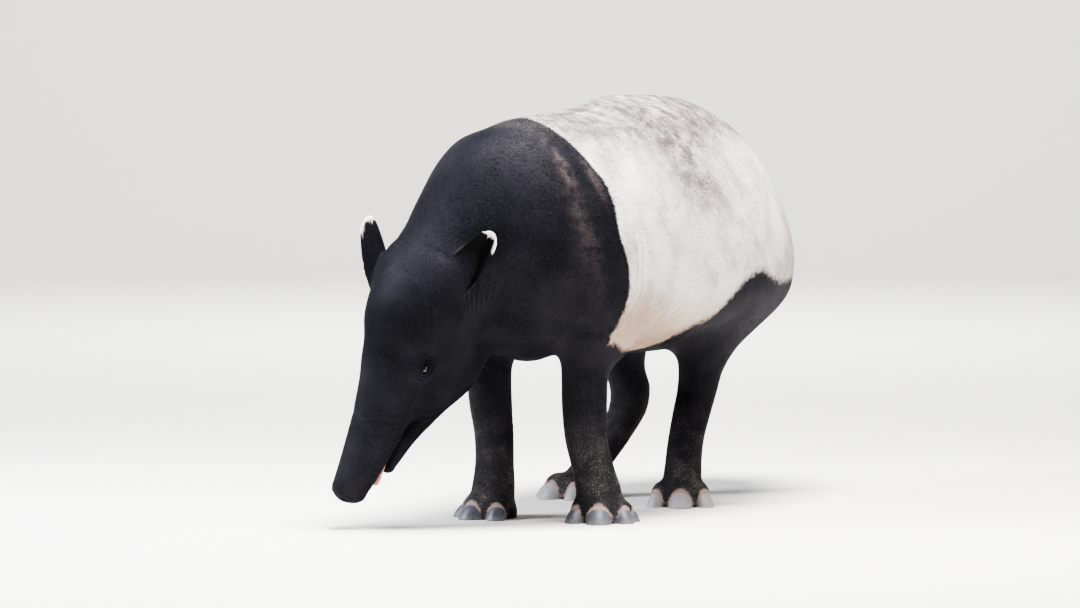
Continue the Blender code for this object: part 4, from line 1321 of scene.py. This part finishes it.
HOOF_FRONT, HOOF_BACK = 0.5, 0.42  # reach ahead of and behind its spot, as shares of its length
GROWTH_LINES = (46, 0.007)  # waves up the wall, as radians over its height, and their height as a share
WALL_RIDGES = (17, 0.006)  # ridges round the wall, and their height as a share


def hoof_mesh(name, spot, turn, size):
    """A hoof: level rings that shrink as sqrt(1 - lift^2.2) and lean back, with a worn edge at the floor.

    Faint growth lines run round it, and the wall has low upright ridges.
    """
    length, width, height = size
    ahead = np.array((math.cos(turn), math.sin(turn), 0.0))
    side = np.array((-math.sin(turn), math.cos(turn), 0.0))
    around = np.linspace(0, 2 * math.pi, 72, endpoint=False)
    rings, lifts = [], []
    for lift in np.concatenate([[0.0, 0.012, 0.035], np.linspace(0.07, 0.92, 22), [0.955, 0.98]]):
        worn = 1 - 0.045 * (1 - min(lift / 0.035, 1)) ** 2
        wide = (1 - lift**2.2) ** 0.5 * worn * (1 + GROWTH_LINES[1] * math.sin(GROWTH_LINES[0] * lift))
        ridge = 1 + WALL_RIDGES[1] * np.cos(WALL_RIDGES[0] * around) * (1 - lift)
        front = np.where(np.cos(around) > 0, HOOF_FRONT * length * wide, HOOF_BACK * length * wide) * ridge
        x = front * np.cos(around) - HOOF_RAKE * lift * height
        y = 0.5 * width * wide * ridge * np.sin(around)
        rings.append(spot + np.outer(x, ahead) + np.outer(y, side) + np.array((0, 0, lift * height)))
        lifts.append(np.full(len(around), lift))
    mesh = rings_mesh(name, rings)
    add_number(mesh, "lift", np.concatenate(lifts))
    return mesh


def tongue_mesh():
    """The tongue's loft with a groove along its upper side."""
    loft = head_loft(TONGUE, TONGUE_CAPS)
    mesh = rings_mesh("tongue_wet", loft.rings(36, 30))
    points = read_points(mesh)
    s, side, above = from_head(points).T
    middle = np.interp(s, [row[0] for row in TONGUE], [row[1] for row in TONGUE])
    groove = hump(side, 0.0, 0.003) * ramp(above - middle, 0.0, 0.003) * 0.0012
    points -= groove[:, None] * HEAD_FRAME[2]
    write_points(mesh, points)
    return mesh


# ---- materials -------------------------------------------------------------------------------------------


class Tree:
    """Short ways to add and join shader nodes."""

    def __init__(self, tree):
        self.tree = tree

    def add(self, kind, inputs=(), **settings):
        made = self.tree.nodes.new(kind)
        for key, value in settings.items():
            setattr(made, key, value)
        for key, value in dict(inputs).items():
            self.put(made.inputs[key], value)
        return made

    def put(self, socket, value):
        if isinstance(value, bpy.types.NodeSocket):
            self.tree.links.new(value, socket)
        else:
            socket.default_value = value

    def number(self, name):
        return self.add("ShaderNodeAttribute", attribute_name=name).outputs["Fac"]

    def math(self, operation, a, b=0.0, c=0.0, clamp=False):
        made = self.add("ShaderNodeMath", {0: a, 1: b, 2: c}, operation=operation, use_clamp=clamp)
        return made.outputs[0]

    def blend(self, share, a, b, kind="MIX"):
        made = self.add("ShaderNodeMix", {0: share, 6: a, 7: b}, data_type="RGBA", blend_type=kind)
        return made.outputs[2]

    def step(self, value, low, high):
        made = self.add("ShaderNodeMapRange", {0: value, 1: low, 2: high}, interpolation_type="SMOOTHSTEP")
        return made.outputs[0]

    def place(self, stretch=(1.0, 1.0, 1.0)):
        where = self.add("ShaderNodeTexCoord").outputs["Object"]
        return self.add("ShaderNodeMapping", {"Vector": where, "Scale": stretch}).outputs[0]

    def noise(self, scale, detail=2.0, stretch=(1.0, 1.0, 1.0), rough=0.5):
        inputs = {"Vector": self.place(stretch), "Scale": scale, "Detail": detail, "Roughness": rough}
        return self.add("ShaderNodeTexNoise", inputs).outputs["Fac"]


def colour(r, g, b):
    return (r, g, b, 1.0)


# Tones that go with the colours a user may change
# bluish grey of the painted glints in the black hair
GLINT_GREY = colour(0.060, 0.060, 0.080)
# brownish tone of the lighter streaks over the shoulder
STREAK_TONE = colour(0.17, 0.13, 0.125)
BLOTCH = colour(0.33, 0.285, 0.28)
BROWN = colour(0.36, 0.26, 0.21)
SPECK = colour(0.22, 0.19, 0.19)
# near-black of the painted shade in the ear cups and between the lips
PAINTED_CUP_SHADE = colour(0.004, 0.004, 0.004)
MOIST_LID = colour(0.034, 0.029, 0.031)
EAR_WHITE = colour(0.86, 0.84, 0.82)
PUPIL = colour(0.002, 0.002, 0.002)
IRIS = (colour(0.008, 0.005, 0.004), colour(0.028, 0.017, 0.011))
EYE_RIM = colour(0.012, 0.010, 0.010)
HORN_CLOUD = colour(0.12, 0.125, 0.15)
HORN_HIND = colour(0.36, 0.355, 0.36)
HORN_TOP = colour(0.52, 0.37, 0.32)
TONGUE_TONES = (colour(0.62, 0.24, 0.22), colour(0.72, 0.36, 0.32))
DULL = 0.08  # specular level of hair, which lies too rough to glint
PALE_ROUGHER = 0.22  # how much rougher the pale hair is than the black


def group_tree(name, inputs, outputs):
    """An empty node group with its numbers to set, its outputs, and its two ends."""
    tree = bpy.data.node_groups.new(name, "ShaderNodeTree")
    for label, value in inputs:
        socket = tree.interface.new_socket(label, in_out="INPUT", socket_type="NodeSocketFloat")
        socket.default_value = value
    for label, kind in outputs:
        tree.interface.new_socket(label, in_out="OUTPUT", socket_type=kind)
    made = Tree(tree)
    return made, made.add("NodeGroupInput").outputs, made.add("NodeGroupOutput").inputs


def markings_group(looks):
    """The animal's colours with some painted shade and glints, from the numbers that the skin and the coat
    both hold.
    """
    inputs = [("Ragged", 3.4), ("Blotches", 0.70), ("Specks", 0.30), ("Grit", 0.60)]
    outputs = [("Color", "NodeSocketColor"), ("Pale", "NodeSocketFloat")]
    made, given, out = group_tree("tapir_markings", inputs, outputs)

    def weigh(share, most, least=0.0):
        return made.math("MULTIPLY_ADD", share, most - least, least, clamp=True)

    def both(a, b):
        return made.math("MULTIPLY", a, b)

    frayed = made.math("SUBTRACT", made.noise(90, 4, rough=0.7), 0.5)
    ragged = both(frayed, given["Ragged"])
    pale = made.step(made.math("ADD", made.number("saddle"), ragged), -1.0, 1.0)
    faded = made.step(made.noise(6, 3), 0.35, 0.75)
    dark = made.blend(faded, colour(*looks.black), colour(*looks.black_worn))
    # painted glints: fine light bluish specks scattered over the black hair
    grain = made.step(made.noise(420, 2, (1.0, 1.0, 0.6)), 0.54, 0.74)
    dark = made.blend(weigh(grain, 0.30), dark, GLINT_GREY)
    # lighter brownish streaks in the black over the shoulder, beside the saddle's front edge
    streaky = both(made.number("streak"), made.step(made.noise(45, 3), 0.25, 0.65))
    dark = made.blend(weigh(streaky, 0.50), dark, STREAK_TONE)
    blotches = made.step(made.noise(9, 4, rough=0.6), 0.38, 0.72)
    light = made.blend(both(blotches, given["Blotches"]), colour(*looks.white), BLOTCH)
    cloudy = made.step(made.noise(26, 5, rough=0.65), 0.30, 0.68)
    light = made.blend(both(made.number("mauve"), weigh(cloudy, 1.0, 0.45)), light, colour(*looks.mauve))
    light = made.blend(weigh(made.number("brown"), 0.55), light, BROWN)
    # painted shade with warm bounced light low on the saddle
    light = made.blend(weigh(made.number("belly_tan_shade"), 0.80), light, colour(*looks.belly))
    specks = made.step(made.noise(230, 2), 0.66, 0.74)
    light = made.blend(both(specks, given["Specks"]), light, SPECK)
    found = made.blend(pale, dark, light)
    grit = made.step(made.noise(330, 3, rough=0.75), 0.55, 0.66)
    patchy = made.math("MULTIPLY_ADD", made.step(made.noise(14, 4), 0.40, 0.65), 0.75, 0.25)
    film = made.math("MULTIPLY_ADD", grit, given["Grit"], 0.10)
    dusty = both(both(made.number("dust"), patchy), film)
    found = made.blend(dusty, found, colour(*looks.dust))
    pink = both(made.number("toe_pink"), weigh(made.noise(60, 3), 1.10, 0.40))
    found = made.blend(pink, found, colour(*looks.toe_pink))
    # painted shade: the ear cups and the gap between the lips turned near-black
    found = made.blend(weigh(made.number("hollow"), 0.90), found, PAINTED_CUP_SHADE)
    found = made.blend(weigh(made.number("lid"), 0.6), found, MOIST_LID)
    found = made.blend(made.number("rim"), found, EAR_WHITE)
    made.put(out["Color"], found)
    made.put(out["Pale"], pale)
    return made.tree


def hair_grain_group():
    """Height of the short flat hair: fine noise drawn out along the way it lies, over small pores."""
    inputs = [("Strands", 900.0), ("Pores", 0.5)]
    made, given, out = group_tree("hair_grain", inputs, [("Height", "NodeSocketFloat")])
    level = made.noise(given["Strands"], 3, (0.14, 1.0, 1.0))
    upright = made.noise(given["Strands"], 3, (1.0, 1.0, 0.14))
    share = made.number("upright")
    level_part = made.math("MULTIPLY", level, made.math("SUBTRACT", 1.0, share))
    lain = made.math("ADD", level_part, made.math("MULTIPLY", upright, share))
    made.put(out["Height"], made.math("MULTIPLY_ADD", made.noise(190, 3), given["Pores"], lain))
    return made.tree


def shader_material(name, rough, **constants):
    """A material with one Principled shader whose plain values are set on the shader itself."""
    found = bpy.data.materials.new(name)
    found.use_nodes = True
    shader = found.node_tree.nodes["Principled BSDF"]
    shader.inputs["Roughness"].default_value = rough
    for key, value in constants.items():
        shader.inputs[key.replace("_", " ")].default_value = value
    return found, Tree(found.node_tree), shader.inputs


def place_group(made, tree, **values):
    """Puts a node group into a material with its own values, and gives its outputs."""
    node = made.add("ShaderNodeGroup")
    node.node_tree = tree
    for key, value in values.items():
        node.inputs[key].default_value = value
    return node.outputs


def skin_material(looks, markings, grain):
    found, made, shader = shader_material("tapir_skin", 0.55, Specular_IOR_Level=DULL)
    look = place_group(made, markings, Ragged=3.4, Blotches=0.70, Specks=0.25, Grit=0.60)
    made.put(shader["Base Color"], look["Color"])
    rough = made.math("MULTIPLY_ADD", look["Pale"], PALE_ROUGHER, looks.roughness)
    made.put(shader["Roughness"], made.math("MULTIPLY_ADD", made.number("lid"), -0.25, rough))
    height = place_group(made, grain, Strands=900.0, Pores=0.6)["Height"]
    bump = made.add("ShaderNodeBump", {"Height": height, "Strength": 0.45, "Distance": 0.0008})
    made.put(shader["Normal"], bump.outputs[0])
    return found


def coat_material(looks, markings, grain):
    """The skin's colours with each tuft a little lighter or darker, and a few light ones in the black."""
    found, made, shader = shader_material("tapir_coat", 0.50, Specular_IOR_Level=DULL)
    look = place_group(made, markings, Ragged=3.4, Blotches=0.70, Specks=0.35, Grit=0.45)
    rare = made.math("POWER", made.number("shade"), 6.0)
    in_black = made.math("MULTIPLY_ADD", rare, 1.7, 0.88)
    in_white = made.math("MULTIPLY_ADD", rare, -0.30, 1.03)
    value = made.math("MULTIPLY_ADD", look["Pale"], made.math("SUBTRACT", in_white, in_black), in_black)
    toned = made.add("ShaderNodeHueSaturation", {"Color": look["Color"], "Value": value})
    made.put(shader["Base Color"], toned.outputs[0])
    made.put(shader["Roughness"], made.math("MULTIPLY_ADD", look["Pale"], PALE_ROUGHER, looks.roughness))
    height = place_group(made, grain, Strands=750.0, Pores=0.4)["Height"]
    bump = made.add("ShaderNodeBump", {"Height": height, "Strength": 0.30, "Distance": 0.0006})
    made.put(shader["Normal"], bump.outputs[0])
    return found


def eye_material():
    """Black pupil, dark brown iris with fine grain, and a dark rim, under a wet coat."""
    found, made, shader = shader_material("wet_eye", 0.12, Coat_Weight=0.6, Coat_Roughness=0.02)
    angle = made.number("from_front")
    iris = made.blend(made.noise(900, 3), *IRIS)
    look = made.blend(made.step(angle, 0.36, 0.42), PUPIL, iris)
    look = made.blend(made.step(angle, 0.78, 0.90), look, EYE_RIM)
    made.put(shader["Base Color"], look)
    return found


def hoof_material(looks):
    """Blue-grey horn, paler behind, dusty towards the floor, pinkish at the top, with growth lines."""
    found, made, shader = shader_material("hoof_horn", 0.5, Coat_Weight=0.08, Coat_Roughness=0.4)
    lift = made.number("lift")
    horn = made.blend(made.noise(55, 4), colour(*looks.horn), HORN_CLOUD)
    ahead = made.add("ShaderNodeSeparateXYZ", {0: made.place()}).outputs["X"]
    horn = made.blend(made.math("MULTIPLY", made.step(ahead, 0.10, 0.0), 0.75), horn, HORN_HIND)
    horn = made.blend(made.math("MULTIPLY", made.step(lift, 0.72, 0.92), 0.65), horn, HORN_TOP)
    caked = made.step(made.noise(180, 4, rough=0.7), 0.35, 0.62)
    dusty = made.math("MULTIPLY", made.step(lift, 0.40, 0.02), caked)
    horn = made.blend(made.math("MULTIPLY", dusty, 0.35), horn, colour(*looks.dust))
    made.put(shader["Base Color"], horn)
    made.put(shader["Roughness"], made.math("MULTIPLY_ADD", made.noise(90, 3), 0.25, 0.38))
    lines = made.noise(110, 3, (0.4, 0.4, 5.0))
    bump = made.add("ShaderNodeBump", {"Height": lines, "Strength": 0.4, "Distance": 0.0008})
    made.put(shader["Normal"], bump.outputs[0])
    return found


def tongue_material():
    found, made, shader = shader_material("wet_tongue", 0.32, Coat_Weight=0.35, Subsurface_Weight=0.1)
    look = made.blend(made.noise(120, 4), *TONGUE_TONES)
    made.put(shader["Base Color"], look)
    bump = made.add("ShaderNodeBump", {"Height": made.noise(700, 2), "Strength": 0.4, "Distance": 0.0006})
    made.put(shader["Normal"], bump.outputs[0])
    return found


def plain_material(name, tint, rough):
    found, made, shader = shader_material(name, rough)
    made.put(shader["Base Color"], colour(*tint))
    return found


# ---- stage -----------------------------------------------------------------------------------------------

CAMERA_SPOT = (9.09, 5.03, 1.0)
CAMERA_HEADING = 30.0  # degrees from the animal's long axis to the line of sight
CAMERA_DIP = 2.74  # degrees under the level
CAMERA_LENS = 140.0  # mm
CAMERA_SENSOR = 36.0  # mm
VIEW_LOOK = "AgX - High Contrast"  # keeps the black hair deep over the pale floor
# Lights: name, spot, what it shines at, size, power in watts, colour
LIGHTS = (
    ("top_light", (0.6, 0.6, 4.7), (0.1, 0.0, 0.6), 2.2, 700.0, (1.0, 0.985, 0.96)),
    ("front_light", (3.0, -3.2, 3.3), (0.6, -0.1, 0.5), 1.8, 360.0, (0.90, 0.93, 1.0)),
    ("side_light", (0.6, 4.6, 3.0), (0.1, 0.0, 0.5), 2.6, 90.0, (1.0, 0.98, 0.95)),
    ("wall_light", (-5.0, -3.0, 7.0), (-14.0, -8.0, 1.0), 4.0, 1600.0, (1.0, 1.0, 1.0)),
)
FLOOR_PROFILE = (14.0, 4.0, 12.0)  # reach of the flat floor, radius of the bend round it, height of the wall


def add_camera():
    heading, dip = math.radians(CAMERA_HEADING), math.radians(CAMERA_DIP)
    camera = bpy.data.cameras.new("camera")
    camera.lens = CAMERA_LENS
    camera.sensor_width = CAMERA_SENSOR
    camera.clip_end = 100.0
    obj = new_object("camera", camera)
    obj.location = Vector(CAMERA_SPOT) - Vector(MIDDLE)
    level = math.cos(dip)
    sight = Vector((-math.cos(heading) * level, -math.sin(heading) * level, -math.sin(dip)))
    obj.rotation_euler = sight.to_track_quat("-Z", "Y").to_euler()
    bpy.context.scene.camera = obj


def add_light(name, spot, target, size, power, tint):
    light = bpy.data.lights.new(name, "AREA")
    light.shape = "DISK"
    light.size = size
    light.energy = power
    light.color = tint
    obj = new_object(name, light)
    obj.location = spot
    obj.rotation_euler = (Vector(target) - Vector(spot)).to_track_quat("-Z", "Y").to_euler()


def add_floor(looks):
    """A wide round floor that bends up into a wall all round: a line, a quarter circle, a line, turned."""
    flat, bend, top = FLOOR_PROFILE
    arc = np.linspace(0, math.pi / 2, 16)
    out = np.concatenate([[0.01, 2.0, 6.0], flat + bend * np.sin(arc), [flat + bend]])
    up = np.concatenate([[0.0, 0.0, 0.0], bend * (1 - np.cos(arc)), [top]])
    turn = np.linspace(0, 2 * math.pi, 96, endpoint=False)
    way = np.stack([np.cos(turn), np.sin(turn)], 1)
    rings = [np.column_stack([way * r, np.full(len(turn), z)]) for r, z in zip(out, up)]
    quads, ends = tube_faces(len(out), len(turn))
    floor = new_object("floor", faces_mesh("floor", np.concatenate(rings), quads[:, ::-1], ends[:1, ::-1]))
    floor.data.materials.append(plain_material("floor_pale", looks.floor, 0.9))


def add_world(looks):
    world = bpy.data.worlds.new("studio")
    world.use_nodes = True
    background = world.node_tree.nodes["Background"]
    background.inputs["Color"].default_value = colour(*looks.sky)
    background.inputs["Strength"].default_value = looks.sky_strength
    bpy.context.scene.world = world


# ---- what a user may change ------------------------------------------------------------------------------


def tint(name, text, value):
    return FloatVectorProperty(
        name=name, description=text, subtype="COLOR", size=3, default=value, min=0, max=1
    )


class TapirLooks(bpy.types.PropertyGroup):
    """Colours and finish of the animal and the stage."""

    black: tint("Black", "Colour of the black hair", (0.0085, 0.0083, 0.0125))
    black_worn: tint("Worn black", "Colour of the black hair where it is faded", (0.0210, 0.0195, 0.0260))
    white: tint("White", "Colour of the saddle", (0.70, 0.655, 0.625))
    mauve: tint("Mauve", "Colour of the dust along the back", (0.115, 0.092, 0.106))
    # the tan of the painted shade and warm bounced light under the belly
    belly: tint("Belly", "Colour of the belly's underside", (0.36, 0.245, 0.17))
    dust: tint("Dust", "Colour of the dust on legs and hooves", (0.46, 0.42, 0.37))
    toe_pink: tint("Toe pink", "Colour of the bare skin above the hooves", (0.40, 0.29, 0.27))
    horn: tint("Horn", "Colour of the hooves", (0.055, 0.060, 0.078))
    roughness: FloatProperty(
        name="Roughness", description="Roughness of the black hair", default=0.58, min=0, max=1
    )
    floor: tint("Floor", "Colour of the floor", (0.78, 0.765, 0.74))
    sky: tint("Sky", "Colour of the light from all round", (0.80, 0.88, 1.0))
    sky_strength: FloatProperty(
        name="Sky strength", description="Strength of the light from all round", default=0.17, min=0
    )


class TapirSizes(bpy.types.PropertyGroup):
    """Sizes of the skin and the coat."""

    coat_depth: FloatProperty(
        name="Coat depth", description="How deep the skin lies under the tips of the coat",
        default=0.0010, min=0, unit="LENGTH", precision=4,
    )
    tufts: IntProperty(name="Tufts", description="Tufts in the whole coat", default=280000, min=100)
    tufts_in_piece: IntProperty(
        name="Tufts in a piece", description="Most tufts in one piece of the coat", default=47000, min=100
    )


def looks():
    return bpy.context.scene.tapir_looks


def sizes():
    return bpy.context.scene.tapir_sizes


def shared_groups():
    """The two node groups that the skin and the coat share, made once."""
    groups = bpy.data.node_groups
    markings = groups.get("tapir_markings") or markings_group(looks())
    return markings, groups.get("hair_grain") or hair_grain_group()


# ---- operators -------------------------------------------------------------------------------------------

FLESH_NODES = (
    "trunk", "neck", "head", "tail", "ear_left", "ear_right", *(f"leg_{name}" for name in LEG_PATHS),
)


class TAPIR_OT_skin(bpy.types.Operator):
    """Make the one skin of the whole animal."""

    bl_idname = "tapir.skin"
    bl_label = "Make Skin"

    def execute(self, context):
        mesh = skin_mesh(sizes().coat_depth)
        for key, values in marks(read_points(mesh)).items():
            add_number(mesh, key, values)
        skin = new_object("skin", mesh)
        mesh.materials.clear()
        mesh.materials.append(skin_material(looks(), *shared_groups()))
        finish_piece(skin, "black_hide", *FLESH_NODES)
        return {"FINISHED"}


class TAPIR_OT_coat(bpy.types.Operator):
    """Scatter the coat's tufts over the skin."""

    bl_idname = "tapir.coat"
    bl_label = "Make Coat"

    def execute(self, context):
        rng = np.random.default_rng(SEED)
        skin = bpy.data.objects["skin"].data.copy()
        write_points(skin, read_points(skin) + MIDDLE)
        root, normal = tuft_roots(skin, sizes().tufts, rng)
        bpy.data.meshes.remove(skin)
        order = np.argsort(root[:, 0], kind="stable")
        cover = coat_material(looks(), *shared_groups())
        shares = np.array_split(order, math.ceil(len(order) / sizes().tufts_in_piece))
        for number, share in enumerate(shares, 1):
            name = f"coat_{number}"
            mesh = tufts_mesh(name, root[share], normal[share], rng)
            mesh.materials.append(cover)
            finish_piece(new_object(name, mesh), "black_hide")
        return {"FINISHED"}


class TAPIR_OT_eyes(bpy.types.Operator):
    """Make the two eyeballs."""

    bl_idname = "tapir.eyes"
    bl_label = "Make Eyes"

    def execute(self, context):
        wet = eye_material()
        for side, eye in EYES.items():
            mesh = ball_mesh(f"eyeball_{side}", eye)
            mesh.materials.append(wet)
            finish_piece(new_object(f"eyeball_{side}", mesh), "eye_wet", f"eye_{side}")
        return {"FINISHED"}


class TAPIR_OT_tongue(bpy.types.Operator):
    """Make the tongue that shows between the lips."""

    bl_idname = "tapir.tongue"
    bl_label = "Make Tongue"

    def execute(self, context):
        mesh = tongue_mesh()
        mesh.materials.append(tongue_material())
        finish_piece(new_object("tongue_wet", mesh), "tongue_wet", "tongue")
        return {"FINISHED"}


class TAPIR_OT_hooves(bpy.types.Operator):
    """Make the fourteen hooves."""

    bl_idname = "tapir.hooves"
    bl_label = "Make Hooves"

    def execute(self, context):
        horn = hoof_material(looks())
        for leg in LEG_PATHS:
            for toe, spot, turn, size in toe_places(leg):
                name = f"horn_{leg}_{toe}"
                mesh = hoof_mesh(name, spot, turn, size)
                mesh.materials.append(horn)
                finish_piece(new_object(name, mesh), "hoof_horn", f"hoof_{leg}_{toe}")
        return {"FINISHED"}


class TAPIR_OT_stage(bpy.types.Operator):
    """Set up the floor, the lights and the camera."""

    bl_idname = "tapir.stage"
    bl_label = "Set Stage"

    def execute(self, context):
        add_floor(looks())
        add_world(looks())
        for light in LIGHTS:
            add_light(*light)
        add_camera()
        context.scene.view_settings.look = VIEW_LOOK
        return {"FINISHED"}


class TAPIR_PT_panel(bpy.types.Panel):
    """Buttons and settings for the model."""

    bl_label = "Malayan Tapir"
    bl_idname = "TAPIR_PT_panel"
    bl_space_type = "VIEW_3D"
    bl_region_type = "UI"
    bl_category = "Tapir"

    def draw(self, context):
        for operator in OPERATORS:
            self.layout.operator(operator.bl_idname)
        for settings in (context.scene.tapir_sizes, context.scene.tapir_looks):
            for key in settings.bl_rna.properties.keys():
                if key not in ("rna_type", "name"):
                    self.layout.prop(settings, key)


OPERATORS = (
    TAPIR_OT_skin, TAPIR_OT_coat, TAPIR_OT_eyes, TAPIR_OT_tongue, TAPIR_OT_hooves, TAPIR_OT_stage,
)
CLASSES = (TapirLooks, TapirSizes, *OPERATORS, TAPIR_PT_panel)


def register():
    for cls in CLASSES:
        bpy.utils.register_class(cls)
    bpy.types.Scene.tapir_looks = PointerProperty(type=TapirLooks)
    bpy.types.Scene.tapir_sizes = PointerProperty(type=TapirSizes)


def unregister():
    del bpy.types.Scene.tapir_sizes
    del bpy.types.Scene.tapir_looks
    for cls in reversed(CLASSES):
        bpy.utils.unregister_class(cls)


def main():
    register()
    bpy.ops.tapir.skin()
    bpy.ops.tapir.coat()
    bpy.ops.tapir.eyes()
    bpy.ops.tapir.tongue()
    bpy.ops.tapir.hooves()
    bpy.ops.tapir.stage()


if __name__ == "__main__":
    main()
